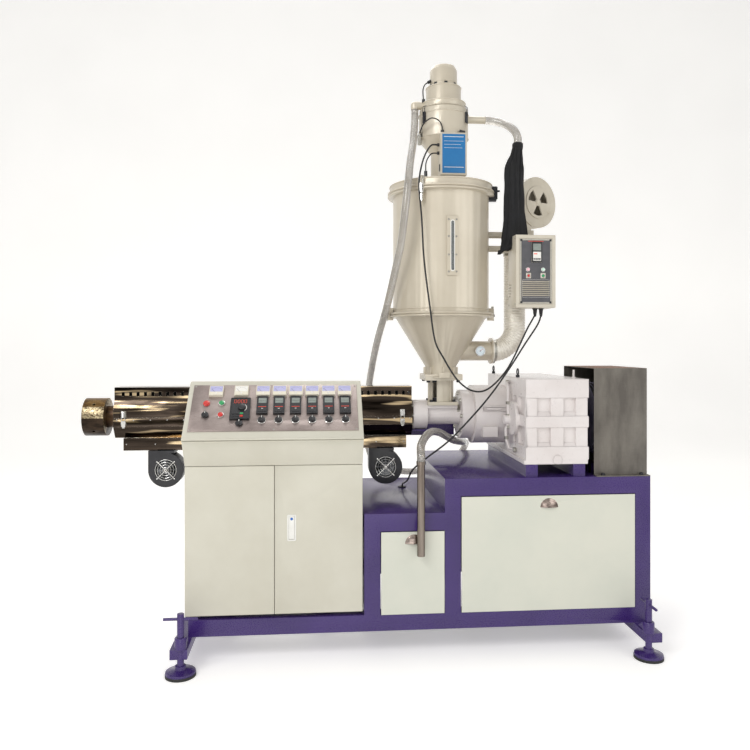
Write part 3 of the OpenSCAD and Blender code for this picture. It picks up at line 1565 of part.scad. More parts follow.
module loader_body() {
  foot_h = loader_foot_top - lid_top;
  head_top = head_bottom + head_h;
  neck_top = head_top + neck_h;
  color("#c8c3b8") at_loader() {
    disc(lid_top, foot_h, loader_foot_r);
    disc(lid_top, flange_t / 2, loader_foot_r + flange_t);
    up(loader_foot_top) cylinder(h = loader_cone_h, r1 = loader_foot_r, r2 = loader_r);
    disc(chamber_bottom, chamber_height, loader_r);
    disc(chamber_top, collar_h, loader_r - gap);
    disc(chamber_top + collar_h, collar_gap, head_r - 2 * collar_gap);
    disc(head_bottom, head_h, head_r);
    disc(head_top, neck_h, neck_r);
    disc(neck_top, dome_h * 0.8, dome_r);
    up(neck_top + dome_h * 0.8) cylinder(h = dome_h * 0.2, r1 = dome_r, r2 = dome_r * 0.85);
    translate([exhaust_end - loader_x, 0, exhaust_z]) rotate([0, -90, 0])
      cylinder(h = exhaust_end - loader_x, r = stub_r - gap);
    rod_x([elbow_x - loader_x, 0, port_z], loader_x - elbow_x, stub_r);
    translate([elbow_x - loader_x, 0, port_z]) sphere(r = stub_r);
    rod([elbow_x - loader_x, 0, hose_route[0][2]], port_z - hose_route[0][2], stub_r);
  }
  color("#d3cfc4") {
    block([loader_box_left, -loader_box_front, loader_box_z],
       [loader_box_left + loader_box_w, -loader_box_back, loader_box_z + loader_box_h]);
    block([loader_x - clip_w, -loader_box_back - over, loader_box_z + clip_w],
       [loader_x + clip_w, -loader_foot_r / 2, loader_box_z + 2 * clip_w]);
  }
  color("#136fab") block([loader_box_left + 4 * gap, -loader_box_front - gap, loader_box_z + 4 * gap],
       [loader_box_left + loader_box_w - 4 * gap, -loader_box_front, loader_box_z + loader_box_h - 4 * gap]);
  color("#1b1b1e") {
    for (r = [loader_cable_route, sensor_lead_route, valve_lead_route, motor_lead_route])
      gland(r[0], r[1], gland_l, gland_r);
    for (r = [valve_lead_route, motor_lead_route]) gland(last(r), before_last(r), gland_l, gland_r);
    translate([loader_box_left + loader_box_w - loader_knob_r, (-loader_box_front - loader_box_back) / 2,
         loader_box_z + loader_box_h]) cylinder(h = loader_knob_r, r = loader_knob_r, $fn = 3);
    for (turn = [0 : 45 : 315]) at_loader() spin(turn)
      block([dome_r - gap, -gland_r, neck_top + gland_r], [dome_r + gap / 2, gland_r, neck_top + 2 * gland_r]);
  }
}

module exhaust_hose() {
  color("#b9b4aa") {
    tube(exhaust_route, exhaust_hose_r, hose_wall, 12);
    for (end = [[exhaust_route[0], exhaust_route[1]], [last(exhaust_route), before_last(exhaust_route)]])
      strap(end[0], end[1], exhaust_hose_r + strap_t, exhaust_hose_r - hose_wall / 2);
  }
}

// Cloth bag on the end of the exhaust hose, drawn as a plain closed form
module filter_bag() {
  sides = 16;
  color("#161719") polyhedron(points = [for (b = bag_ovals, k = [0 : sides - 1])
      [b[0] + b[3] * cos(360 * k / sides), b[1] - b[4] * sin(360 * k / sides), b[2]]],
    faces = closed_faces(len(bag_ovals), sides));
}

module suction_hose() {
  color("#9d9a92") tube(hose_route, hose_r, hose_wall, 12);
}

module suction_wand() {
  end = last(hose_route);
  color("#b8b4ac") {
    difference() {
      rod([end[0], end[1], wand_bottom], end[2] - wand_bottom, wand_r);
      rod([end[0], end[1], wand_bottom - over], end[2] - wand_bottom + 2 * over, wand_r - wand_wall);
      translate([end[0] - 2 * wand_r, end[1], wand_bottom]) rotate([0, wand_slant, 0])
        translate([-2 * wand_r, -2 * wand_r, -4 * wand_r]) cube([8 * wand_r, 4 * wand_r, 4 * wand_r]);
    }
    strap(end - [0, 0, gap + over], end, hose_r + strap_t, hose_r + running);
  }
}

module loader_cables() {
  color("#1b1b1e") {
    cord(loader_cable_route, cable_r, 8);
    cord(sensor_lead_route, lead_r, 8);
    cord(valve_lead_route, lead_r, 8);
    cord(motor_lead_route, lead_r, 8);
  }
}

module supply_cable() {
  color("#1b1b1e") cord(supply_cable_route, cable_r, 8);
}

base_frame();
cabinet_shell();
console_plate();
panel_instruments();
feed_section();
barrel_tube();
heater_bands();
lower_cover();
fan_housings();
head_nut();
gearbox_housing();
thrust_housing();
hopper_throat();
hopper_cone();
hopper_cylinder();
hopper_lid();
hopper_fittings();
air_duct();
air_heater();
dryer_box();
loader_body();
exhaust_hose();
filter_bag();
suction_hose();
suction_wand();
loader_cables();
supply_cable();
belt_guard();
motor();
drive_belts();
screw();
gearbox_pulley();
motor_pulley();
cabinet_door_left();
cabinet_door_right();
door_handle();
access_panel_large();
access_panel_small();
upper_cover();
slide_gate();
fan_wheel(1);  // fan_wheel_1
fan_wheel(2);  // fan_wheel_2
fan_wheel(3);  // fan_wheel_3
foot(left_jack_x, -foot_y, 0);  // foot_1
foot(right_jack_x, -foot_y, 90);  // foot_2
foot(left_jack_x, foot_y, 0);  // foot_3
foot(right_jack_x, foot_y, 90);  // foot_4
zone_switch(1);  // zone_switch_1
zone_switch(2);  // zone_switch_2
zone_switch(3);  // zone_switch_3
zone_switch(4);  // zone_switch_4
zone_switch(5);  // zone_switch_5
zone_switch(6);  // zone_switch_6
start_button();
stop_button();
speed_knob();
mode_switch();
dryer_start_button();
dryer_stop_button();
air_shutter();
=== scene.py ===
"""Looks of a single screw plastic extruder with a hopper dryer and a vacuum loader.

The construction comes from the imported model. This script gives every surface its finish, lays the
hoses and the cables, hangs the cloth filter bag and adds the small pieces that finish the machine.
Sizes in the classes are millimetres in the machine's own frame, and a mesh is turned to metres last.
"""

from __future__ import annotations

import json
import logging
import math
from collections.abc import Callable, Iterable, Sequence
from dataclasses import dataclass
from enum import Enum
from typing import ClassVar

import bmesh
import bpy
from mathutils import Matrix, Vector, noise

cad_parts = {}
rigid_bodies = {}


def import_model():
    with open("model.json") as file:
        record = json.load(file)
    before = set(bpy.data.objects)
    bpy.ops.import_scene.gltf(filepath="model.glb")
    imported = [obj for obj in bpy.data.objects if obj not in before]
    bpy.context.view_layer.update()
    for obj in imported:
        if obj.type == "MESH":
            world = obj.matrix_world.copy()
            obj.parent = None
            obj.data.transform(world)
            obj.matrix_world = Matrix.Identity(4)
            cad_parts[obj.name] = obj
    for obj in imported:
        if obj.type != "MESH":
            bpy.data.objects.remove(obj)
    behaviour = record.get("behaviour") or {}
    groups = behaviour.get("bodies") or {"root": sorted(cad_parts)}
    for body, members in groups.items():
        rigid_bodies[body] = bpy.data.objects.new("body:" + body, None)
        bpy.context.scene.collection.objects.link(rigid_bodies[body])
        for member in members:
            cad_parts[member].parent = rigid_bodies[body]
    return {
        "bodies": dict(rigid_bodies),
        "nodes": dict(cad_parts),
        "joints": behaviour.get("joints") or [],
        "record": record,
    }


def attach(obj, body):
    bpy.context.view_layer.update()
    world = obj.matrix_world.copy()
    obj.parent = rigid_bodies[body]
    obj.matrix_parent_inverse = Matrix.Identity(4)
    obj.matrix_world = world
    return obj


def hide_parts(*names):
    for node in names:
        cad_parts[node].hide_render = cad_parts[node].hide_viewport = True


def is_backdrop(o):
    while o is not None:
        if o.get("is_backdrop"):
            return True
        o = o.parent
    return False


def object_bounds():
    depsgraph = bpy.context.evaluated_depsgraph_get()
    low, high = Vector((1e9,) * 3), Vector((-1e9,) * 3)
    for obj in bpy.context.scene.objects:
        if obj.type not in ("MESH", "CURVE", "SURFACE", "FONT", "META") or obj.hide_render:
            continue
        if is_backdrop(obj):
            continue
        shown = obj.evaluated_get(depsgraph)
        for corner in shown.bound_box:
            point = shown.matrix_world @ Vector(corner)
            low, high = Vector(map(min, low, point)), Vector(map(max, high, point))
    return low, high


MM = 0.001
BASE = "base"
# Seed of the turns that screws are given about their axes.
TURN_SEED = 7
# Beyond every face, so that a span between two of these takes a whole axis.
FAR = 9999.0
# Angles in degrees from which an edge stays sharp, and on the thin access panels.
SHARP = 32.0
FLAT_PANEL = 14.0
LOG = logging.getLogger("extruder")

Tree = bpy.types.NodeTree
Node = bpy.types.Node
Socket = bpy.types.NodeSocket
Point = tuple[float, float, float]
Span = tuple[float, float]
Box = tuple[Point, Point]
Profile = Sequence[Span]
Facing = tuple[Point, Point]

UP: Point = (0, 0, 1)
LEFT: Point = (-1, 0, 0)
FRONT: Point = (0, -1, 0)
# Stands a shape that is drawn on the floor up, so that it faces the operator.
STANDING = Matrix.Rotation(math.pi / 2, 4, "X")


class Grain(Enum):
    """How the small relief of a surface runs."""

    FINE = "fine"
    BRUSHED = "brushed"
    CAST = "cast"
    WAVY = "wavy"
    WOVEN = "woven"


def linear(code: str) -> tuple[float, float, float, float]:
    """Turn an sRGB hex colour to linear light.

    Args:
        code: The colour as six hex digits with a leading hash.

    Returns:
        Red, green, blue and a full alpha.
    """
    parts = [int(code[i : i + 2], 16) / 255 for i in (1, 3, 5)]
    bright = [c / 12.92 if c <= 0.04045 else ((c + 0.055) / 1.055) ** 2.4 for c in parts]
    return (bright[0], bright[1], bright[2], 1.0)


def add(tree: Tree, kind: str, inputs: dict | None = None, **settings: object) -> Node:
    """Add a node with its settings, and link or fill its inputs.

    Args:
        tree: The node tree that the node goes into.
        kind: The node's type name.
        inputs: Sockets by name or number, each with a value or with another node's output.
        settings: The node's own properties.

    Returns:
        The new node.
    """
    made = tree.nodes.new(kind)
    for key, value in settings.items():
        setattr(made, key, value)
    for key, value in (inputs or {}).items():
        if isinstance(value, Socket):
            tree.links.new(value, made.inputs[key])
        else:
            made.inputs[key].default_value = value
    return made


def ramp(tree: Tree, value: Socket, given: Span, wanted: Span) -> Socket:
    """Map a value from one span to another, and hold it at the ends.

    Args:
        tree: The node tree.
        value: The socket that holds the value.
        given: Ends of the value's span.
        wanted: What the result is at those ends.

    Returns:
        The socket that holds the result.
    """
    limits = {0: value, 1: given[0], 2: given[1], 3: wanted[0], 4: wanted[1]}
    return add(tree, "ShaderNodeMapRange", limits).outputs[0]


@dataclass(frozen=True)
class Finish:
    """A surface finish.

    Attributes:
        name: Plain name of the material and of how its surface was made.
        slot: The record's material slot; not used.
        colour: Main colour as sRGB hex.
        blotch: Colour that the main one varies to.
        blotch_mm: Size of the patches of the second colour.
        share: How strongly the patches show, from 0 to 1.
        drawn: How the patches are drawn out along each axis, where a small number is longer.
        rough: Roughness at the middle of its range.
        spread: How far the roughness varies to either side.
        metal: 1 for bare metal.
        coat: Strength of a clear coat.
        grain: How the relief runs.
        grain_mm: Spacing of the relief.
        relief: Depth of the relief in millimetres.
        edge: Radius of worn edges in millimetres.
        worn: How strongly edges take the worn colour.
        worn_to: Colour of worn edges.
        clear: How much light passes through.
        sheen: Strength of cloth sheen.
        glow: Strength of its own light.
        reflection_streak: Colour of a few narrow bright streaks along X that are painted reflections, or
            nothing.
        PATCHES: Noise values between which the second colour comes in.
        REFLECTION_STREAKS: Noise values between which a painted reflection streak comes in.
        GRAIN_SPAN: Relief values over which the roughness varies.
        FLAT_TO_EDGE: Agreement of true and rounded normal on a flat face and on a worn edge.
        SMOOTHEST: Least roughness.
        COAT_ROUGH: Roughness of every clear coat.
    """

    PATCHES: ClassVar[Span] = (0.38, 0.66)
    REFLECTION_STREAKS: ClassVar[Span] = (0.56, 0.64)
    GRAIN_SPAN: ClassVar[Span] = (0.3, 0.7)
    FLAT_TO_EDGE: ClassVar[Span] = (0.985, 0.80)
    SMOOTHEST: ClassVar[float] = 0.02
    COAT_ROUGH: ClassVar[float] = 0.08

    name: str
    slot: str
    colour: str
    blotch: str
    blotch_mm: float = 120.0
    share: float = 0.5
    drawn: Point = (1.0, 1.0, 1.0)
    rough: float = 0.45
    spread: float = 0.08
    metal: float = 0.0
    coat: float = 0.0
    grain: Grain = Grain.FINE
    grain_mm: float = 2.0
    relief: float = 0.05
    edge: float = 1.2
    worn: float = 0.0
    worn_to: str = "#d8d4cc"
    clear: float = 0.0
    sheen: float = 0.0
    glow: float = 0.0
    reflection_streak: str = ""

    def height(self, tree: Tree, where: Socket) -> Socket:
        """Build the relief.

        Args:
            tree: The material's node tree.
            where: Coordinates in metres.

        Returns:
            The socket that holds the height.
        """
        scale = 1 / (self.grain_mm * MM)
        if self.grain is Grain.WOVEN:
            weave = {"Vector": where, "Scale": scale, "Distortion": 0.4}
            waves = [add(tree, "ShaderNodeTexWave", weave, bands_direction=a) for a in "XZ"]
            ends = {0: waves[0].outputs["Fac"], 1: waves[1].outputs["Fac"]}
            return add(tree, "ShaderNodeMath", ends, operation="MAXIMUM").outputs[0]
        pulls = {Grain.BRUSHED: (0.04, 1.0, 1.0), Grain.WAVY: (0.4, 0.4, 1.0)}
        along = pulls.get(self.grain, (1.0, 1.0, 1.0))
        pulled = add(tree, "ShaderNodeMapping", {"Vector": where, "Scale": along})
        fine = {"Scale": scale, "Detail": 5.0 if self.grain is Grain.CAST else 2.0}
        return add(tree, "ShaderNodeTexNoise", {"Vector": pulled.outputs[0], **fine}).outputs["Fac"]

    def mix(self, tree: Tree, share: Socket, first: object, second: object) -> Socket:
        """Mix two colours.

        Args:
            tree: The material's node tree.
            share: How much of the second colour shows.
            first: A socket or a colour.
            second: A socket or a colour.

        Returns:
            The socket that holds the mixed colour.
        """
        return add(tree, "ShaderNodeMix", {0: share, 6: first, 7: second}, data_type="RGBA").outputs[2]

    def made(self) -> bpy.types.Material:
        """Give this finish's material, built the first time it is asked for."""
        found = bpy.data.materials.get(self.name)
        if found:
            return found
        material = bpy.data.materials.new(self.name)
        material.use_nodes = True
        tree = material.node_tree
        shader = tree.nodes["Principled BSDF"]
        where = add(tree, "ShaderNodeTexCoord").outputs["Object"]
        pulled = add(tree, "ShaderNodeMapping", {"Vector": where, "Scale": self.drawn})
        size = {"Scale": 1 / (self.blotch_mm * MM), "Detail": 4.0, "Roughness": 0.6}
        patches = add(tree, "ShaderNodeTexNoise", {"Vector": pulled.outputs[0], **size})
        share = ramp(tree, patches.outputs["Fac"], self.PATCHES, (0.0, self.share))
        colour = self.mix(tree, share, linear(self.colour), linear(self.blotch))
        # Narrow bright streaks along X mixed into the colour are painted reflections of the room.
        if self.reflection_streak:
            drawn = {"Vector": where, "Location": (0.37, 0.11, 0.23), "Scale": (0.07, 1.0, 1.0)}
            long = add(tree, "ShaderNodeMapping", drawn)
            size = {"Vector": long.outputs[0], "Scale": 2.6 / (self.blotch_mm * MM), "Detail": 1.0}
            narrow = add(tree, "ShaderNodeTexNoise", size)
            lines = ramp(tree, narrow.outputs["Fac"], self.REFLECTION_STREAKS, (0.0, 0.9))
            colour = self.mix(tree, lines, colour, linear(self.reflection_streak))
        rounded = add(tree, "ShaderNodeBevel", {"Radius": self.edge * MM}, samples=3)
        if self.worn:
            plain = add(tree, "ShaderNodeNewGeometry").outputs["Normal"]
            turned = {0: rounded.outputs[0], 1: plain}
            agree = add(tree, "ShaderNodeVectorMath", turned, operation="DOT_PRODUCT").outputs["Value"]
            edges = ramp(tree, agree, self.FLAT_TO_EDGE, (0.0, self.worn))
            colour = self.mix(tree, edges, colour, linear(self.worn_to))
        tree.links.new(colour, shader.inputs["Base Color"])
        relief = self.height(tree, where)
        rough = (max(self.SMOOTHEST, self.rough - self.spread), self.rough + self.spread)
        tree.links.new(ramp(tree, relief, self.GRAIN_SPAN, rough), shader.inputs["Roughness"])
        lift = {"Height": relief, "Distance": self.relief * MM, "Normal": rounded.outputs[0]}
        tree.links.new(add(tree, "ShaderNodeBump", lift).outputs[0], shader.inputs["Normal"])
        for name, value in (
            ("Metallic", self.metal), ("Coat Weight", self.coat), ("Coat Roughness", self.COAT_ROUGH),
            ("Transmission Weight", self.clear), ("Sheen Weight", self.sheen),
        ):
            shader.inputs[name].default_value = value
        if self.glow:
            tree.links.new(colour, shader.inputs["Emission Color"])
            shader.inputs["Emission Strength"].default_value = self.glow
        return material


# Gloss enamel over welded tube: deep purple with lighter, rubbed corners.
ENAMEL = Finish(
    "GlossEnamelOnWeldedTube", "purple_paint", "#3a2468", "#2e1a58", 260, 0.7, rough=0.3, coat=0.12,
    grain_mm=4, relief=0.05, edge=2.5, worn=0.3, worn_to="#6d5c9c",
)
# Powder coat on folded sheet: warm off white with a soft, even skin.
CABINET_COAT = Finish(
    "PowderCoatOnFoldedSheet", "beige_paint", "#cbc8ba", "#bfbbab", 300, 0.6, rough=0.46,
    grain_mm=1.6, relief=0.05, edge=2.2, worn=0.25, worn_to="#ece9df",
)
# Powder coat on flat lift-off sheet: a little greener and flatter than the cabinet.
PANEL_COAT = Finish(
    "PowderCoatOnFlatPanel", "panel_paint", "#d2d2c5", "#c6c9bd", 380, 0.6, rough=0.5,
    grain_mm=1.8, relief=0.05, edge=1.5, worn=0.2, worn_to="#efeee6",
)
# Anodised plate with a rolled grain: pink grey, with long fine lines across.
BRUSHED_PLATE = Finish(
    "AnodisedPlateWithRolledGrain", "console_metal", "#a99c97", "#7d716d", 260, 0.9, rough=0.34, metal=0.6,
    grain=Grain.BRUSHED, grain_mm=0.8, relief=0.02, edge=1.0,
)
# Moulded thermoset: the black of switches and controllers, slightly shiny.
BLACK_MOULDING = Finish(
    "MouldedBlackThermoset", "instrument_plastic", "#17171a", "#232327", 30, 0.5, rough=0.34,
    grain_mm=0.7, relief=0.02, edge=0.8, worn=0.3, worn_to="#4a4a50",
)
# Moulded cream cover of a meter.
CREAM_MOULDING = Finish(
    "MouldedCreamCover", "instrument_plastic", "#e2dccb", "#d6cfbb", 40, 0.5, rough=0.4,
    grain_mm=0.9, relief=0.02, edge=1.0,
)
# Printed scale card of a meter: pale lavender.
SCALE_CARD = Finish(
    "MattLavenderScaleCard", "instrument_plastic", "#b9b8dd", "#a9a8d2", 30, 0.5, rough=0.5, grain_mm=0.6,
    relief=0.01
)
# White filling of pointers and scale marks.
WHITE_FILL = Finish(
    "WhitePaintFill", "instrument_plastic", "#eceae4", "#dcdad2", 12, 0.4, rough=0.5, grain_mm=0.5,
    relief=0.01
)
# Liquid crystal window behind a thin cover: green grey.
DISPLAY_WINDOW = Finish(
    "LiquidCrystalWindow", "instrument_plastic", "#8d958f", "#7a827d", 20, 0.6, rough=0.16, grain_mm=0.8,
    relief=0.005
)
# Smoked cover over a lit display.
SMOKED_WINDOW = Finish(
    "SmokedAcrylicWindow", "instrument_plastic", "#20090b", "#120507", 20, 0.6, rough=0.1, coat=0.6,
    relief=0.005
)
# Lit segments of a display and the red line on a controller.
LIT_RED = Finish(
    "LitRedSegment", "instrument_plastic", "#e2391f", "#f0552d", 8, 0.5, rough=0.35, relief=0.01, glow=0.25
)
# Gloss machine enamel over ground castings: near white with a trace of pink.
WHITE_ENAMEL = Finish(
    "GlossEnamelOnGroundCasting", "white_paint", "#e1dbd9", "#d3cbc8", 240, 0.7, rough=0.33, coat=0.2,
    grain=Grain.CAST, grain_mm=14, relief=0.25, edge=5, worn=0.25, worn_to="#f4f0ee",
)
# Steel that has been hot for years: dark brown with straw and blue patches.
HOT_STEEL = Finish(
    "HeatStainedTurnedSteel", "barrel_steel", "#45352a", "#7a5c3a", 60, 0.7, (0.4, 1, 1), rough=0.36,
    metal=0.85, grain=Grain.BRUSHED, grain_mm=0.7, relief=0.03, edge=1.5, worn=0.4, worn_to="#b7a284",
)
# Cast aluminium of the heater bands, dull and slightly oxidised.
CAST_ALUMINIUM = Finish(
    "CastAluminiumHeater", "band_aluminium", "#9c978f", "#6f6a62", 40, 0.6, rough=0.45, metal=0.8,
    grain=Grain.CAST, grain_mm=3, relief=0.15,
)
# Polished stainless sheet over the heaters: its dark base colour, long dark patches and straw streaks along
# X are painted reflections of a dark room.
POLISHED_SHEET = Finish(
    "PolishedStainlessSheet", "cover_steel", "#4a4038", "#120e0b", 58, 1.0, (0.07, 1, 1), rough=0.12,
    spread=0.05,
    metal=1.0, grain=Grain.WAVY, grain_mm=70, relief=2.6, edge=1.2, worn=0.75, worn_to="#e8dfd0",
    reflection_streak="#cdb691",
)
# Black stove enamel of the cooling fans.
STOVE_BLACK = Finish(
    "StoveEnamelledFanCasting", "fan_paint", "#1c1c20", "#2c2c31", 45, 0.6, rough=0.4, grain=Grain.CAST,
    grain_mm=2.5, relief=0.12, worn=0.4, worn_to="#5d5d62",
)
# Pressed bright blades of a fan wheel.
PRESSED_BLADE = Finish(
    "PressedZincBlade", "fan_plastic", "#8b8d90", "#5c5e62", 30, 0.6, rough=0.35, metal=0.8, grain_mm=1.0,
    relief=0.03
)
# Satin stainless of the dryer hopper: warm cream light in fine rolled lines.
SATIN_STAINLESS = Finish(
    "SatinRolledStainless", "hopper_steel", "#c9c0ae", "#bdb3a0", 260, 0.6, rough=0.33, spread=0.04,
    metal=0.18, coat=0.2, grain_mm=1.4, relief=0.02, edge=1.6, worn=0.3, worn_to="#e9e2d2",
)
# Cream enamel over sand castings and boxes.
CREAM_ENAMEL = Finish(
    "CreamEnamelOnSandCasting", "cast_paint", "#cdc5b4", "#bcb3a0", 150, 0.7, rough=0.42, coat=0.15,
    grain=Grain.CAST, grain_mm=6, relief=0.15, edge=2.0, worn=0.35, worn_to="#efe9dc",
)
# Aluminised film over a wire spiral: crinkled and soft cream.
CRINKLED_FILM = Finish(
    "CrinkledFilmOnWireSpiral", "duct_film", "#e6e1d6", "#cfc8ba", 50, 0.7, rough=0.36, metal=0.15,
    coat=0.2, grain=Grain.WAVY, grain_mm=16, relief=1.6, edge=1.0, worn=0.3, worn_to="#f5f1e8",
)
# Cream enamel of the dryer's control box.
BOX_ENAMEL = Finish(
    "CreamEnamelOnPressedBox", "dryer_paint", "#cdc6b6", "#c1b9a8", 160, 0.6, rough=0.4, coat=0.15,
    grain_mm=2.2, relief=0.05, edge=3.0, worn=0.3, worn_to="#efeadf",
)
# Clear vinyl hose: grey glass look with strong highlights.
CLEAR_VINYL = Finish(
    "ClearVinylHoseWall", "hose_plastic", "#d6d2cb", "#b9b3ab", 60, 0.6, rough=0.12, spread=0.05, coat=0.5,
    grain_mm=7, relief=0.12, edge=0.5, clear=0.72,
)
# Steel tube of the suction wand, drawn bright and slightly brown.
DRAWN_TUBE = Finish(
    "DrawnSteelTube", "hopper_steel", "#8b8178", "#5d534b", 26, 0.9, (1, 1, 0.06), rough=0.22, metal=0.95,
    grain=Grain.BRUSHED, grain_mm=0.9, relief=0.02, edge=0.8,
)
# Pressed cup pull: bright chrome whose darkened brownish colour and dark patches are a painted reflection
# of a dim room.
PULL_CHROME = Finish(
    "PressedChromePull", "cover_steel", "#a3958d", "#574b46", 16, 0.9, (0.5, 1, 1), rough=0.2, metal=1.0,
    grain_mm=2.5, relief=0.05, edge=1.0, worn=0.4, worn_to="#e4dcd6",
)
# White spiral that stiffens a clear hose.
HOSE_SPIRAL = Finish(
    "MouldedHoseSpiral", "hose_plastic", "#bcb8b2", "#9f9b95", 20, 0.5, rough=0.3, grain_mm=1, relief=0.02,
    edge=0.3
)
# Black filter cloth.
FILTER_CLOTH = Finish(
    "WovenFilterCloth", "cloth", "#0b0b0d", "#141518", 45, 0.7, rough=0.9, spread=0.05,
    grain=Grain.WOVEN, grain_mm=4.5, relief=0.3, edge=0.6, sheen=0.08,
)
# Black cable sheath.
CABLE_SHEATH = Finish(
    "ExtrudedRubberSheath", "cable_rubber", "#0e0e10", "#18181b", 30, 0.6, rough=0.55, grain_mm=1.2,
    relief=0.04
)
# Grey olive paint on the belt guard, scuffed and rusty at the top.
SCUFFED_PAINT = Finish(
    "ScuffedGuardSheet", "guard_paint", "#55504a", "#757068", 80, 0.85, (1, 1, 0.3), rough=0.5, spread=0.14,
    metal=0.25, grain=Grain.BRUSHED, grain_mm=2.0, relief=0.06, edge=2.0, worn=0.7, worn_to="#a59d92",
)
# Blue grey enamel of the main motor.
MOTOR_ENAMEL = Finish(
    "MotorEnamelOnFinnedCasting", "motor_paint", "#55616a", "#444e56", 120, 0.6, rough=0.42,
    grain=Grain.CAST, grain_mm=5, relief=0.15, worn=0.3, worn_to="#8d98a0",
)
# Wrapped rubber belt.
BELT_RUBBER = Finish(
    "WrappedBeltRubber", "belt_rubber", "#1b1b1b", "#2b2a29", 25, 0.6, rough=0.7, grain_mm=1.2, relief=0.08
)
# Ground steel of the screw.
GROUND_STEEL = Finish(
    "GroundNitridedSteel", "screw_steel", "#8e8b86", "#74716c", 40, 0.6, rough=0.26, metal=1.0,
    grain_mm=0.8, relief=0.02
)
# Machined iron pulley with a violet cast.
TURNED_IRON = Finish(
    "TurnedPulleyIron", "pulley_iron", "#7b7891", "#5d5a6e", 60, 0.6, rough=0.34, metal=0.85, grain_mm=1.0,
    relief=0.05
)
# White lever of the cabinet lock.
LOCK_MOULDING = Finish(
    "MouldedLockLever", "handle_plastic", "#e6e5e0", "#d8d7d0", 30, 0.5, rough=0.36, grain_mm=0.8,
    relief=0.02
)
# Push buttons, glossy and domed.
GREEN_CAP = Finish(
    "GlossGreenButtonCap", "start_plastic", "#1f9c58", "#188a4c", 12, 0.5, rough=0.2, coat=0.5, relief=0.01
)
RED_CAP = Finish(
    "GlossRedButtonCap", "stop_plastic", "#cf2a20", "#b8231b", 12, 0.5, rough=0.2, coat=0.5, relief=0.01
)
# Signal lamp lenses.
RED_LENS = Finish(
    "RibbedRedLampLens", "stop_plastic", "#c7231d", "#e0463a", 6, 0.6, rough=0.14, coat=0.7, grain_mm=2,
    relief=0.1
)
PINK_LENS = Finish(
    "RibbedPinkLampLens", "instrument_plastic", "#eab3bf", "#f2ccd3", 6, 0.6, rough=0.18, coat=0.7,
    relief=0.05
)
MINT_LENS = Finish(
    "RibbedMintLampLens", "instrument_plastic", "#c2e4d2", "#d8f0e3", 6, 0.6, rough=0.18, coat=0.7,
    relief=0.05
)
BLUE_DOT = Finish(
    "BlueLockInsert", "instrument_plastic", "#1f62b5", "#2b73c6", 8, 0.5, rough=0.3, relief=0.01
)
# Blue enamelled plate in front of the loader's control box.
BLUE_PLATE = Finish(
    "BlueEnamelPlate", "instrument_plastic", "#136fab", "#0f659e", 60, 0.5, rough=0.34, coat=0.2,
    grain_mm=1.2, relief=0.02
)
# Bright chrome of latches, rings and bezels.
CHROME = Finish(
    "BrightChromePlate", "cover_steel", "#d6d5d2", "#b9b7b2", 20, 0.5, rough=0.12, spread=0.05, metal=1.0,
    grain_mm=1.5, relief=0.02, edge=0.8,
)
# Zinc plated screws and bolts.
ZINC = Finish(
    "ZincPlatedScrew", "cover_steel", "#b5b3ac", "#98958c", 12, 0.6, rough=0.3, metal=0.9, grain_mm=1.0,
    relief=0.03, edge=0.5
)
# Black oxide of high tensile socket screws and eye bolts.
BLACK_OXIDE = Finish(
    "BlackOxideSteel", "fan_paint", "#26262a", "#38383c", 15, 0.6, rough=0.4, metal=0.6, grain_mm=1.2,
    relief=0.04, edge=0.8, worn=0.4, worn_to="#6b6b70",
)
# Near black colour that paints the shade inside a socket or a slot: painted shade.
PAINTED_SHADE_RECESS = Finish(
    "PaintedShadeRecess", "fan_paint", "#0c0c0e", "#141417", 12, 0.5, rough=0.7, grain_mm=1, relief=0.02
)
# Thin clear pane.
GLASS = Finish(
    "ClearSightPane", "hose_plastic", "#e8eeee", "#dde5e5", 60, 0.5, rough=0.04, spread=0.01, clear=0.9,
    relief=0.003
)
# Black granulate behind the sight pane.
GRANULATE = Finish(
    "BlackGranulate", "cable_rubber", "#0f0f11", "#232327", 4, 0.8, rough=0.35, grain=Grain.CAST,
    grain_mm=4, relief=1.6
)
# Oiled steel of the head nut in three copies by height: straw on top as painted light, speckled and lighter
# below it as a painted highlight on real speckle, dark brown underneath as painted shade.
NUT_PAINTED_LIT = Finish(
    "OiledNutSteelPaintedLit", "nut_steel", "#80643c", "#43301c", 24, 0.9, (0.5, 1, 1), rough=0.3, metal=0.9,
    grain=Grain.BRUSHED, grain_mm=0.8, relief=0.06, edge=2.2, worn=0.7, worn_to="#e5d5ac",
)
NUT_PAINTED_HIGHLIGHT = Finish(
    "SpeckledOiledNutSteelPaintedHighlight", "nut_steel", "#3f3022", "#c9b995", 6, 0.9, (0.7, 1, 1), rough=0.3, metal=0.9,
    grain=Grain.CAST, grain_mm=2.0, relief=0.25, edge=2.2, worn=0.6, worn_to="#cbb78a",
)
NUT_PAINTED_SHADE = Finish(
    "OiledNutSteelPaintedShade", "nut_steel", "#211912", "#44362a", 22, 0.8, (0.3, 1, 1), rough=0.34, metal=0.85,
    grain=Grain.BRUSHED, grain_mm=1.0, relief=0.08, edge=2.2, worn=0.5, worn_to="#8d7a5c",
)
# Dark card with a fine printed grid on the dryer's door.
GRID_CARD = Finish(
    "DarkGridOverlay", "dryer_paint", "#4a4a4e", "#5c5b5f", 30, 0.5, rough=0.42, grain=Grain.WOVEN,
    grain_mm=3.2, relief=0.12
)
# Bare iron that rusts where the guard's paint has gone.
RUSTED_EDGE = Finish(
    "RustedBareIron", "guard_paint", "#6b5a4c", "#7d4a2b", 34, 0.9, rough=0.7, spread=0.12,
    grain=Grain.CAST, grain_mm=3, relief=0.3, edge=2.0, worn=0.5, worn_to="#a59d92",
)
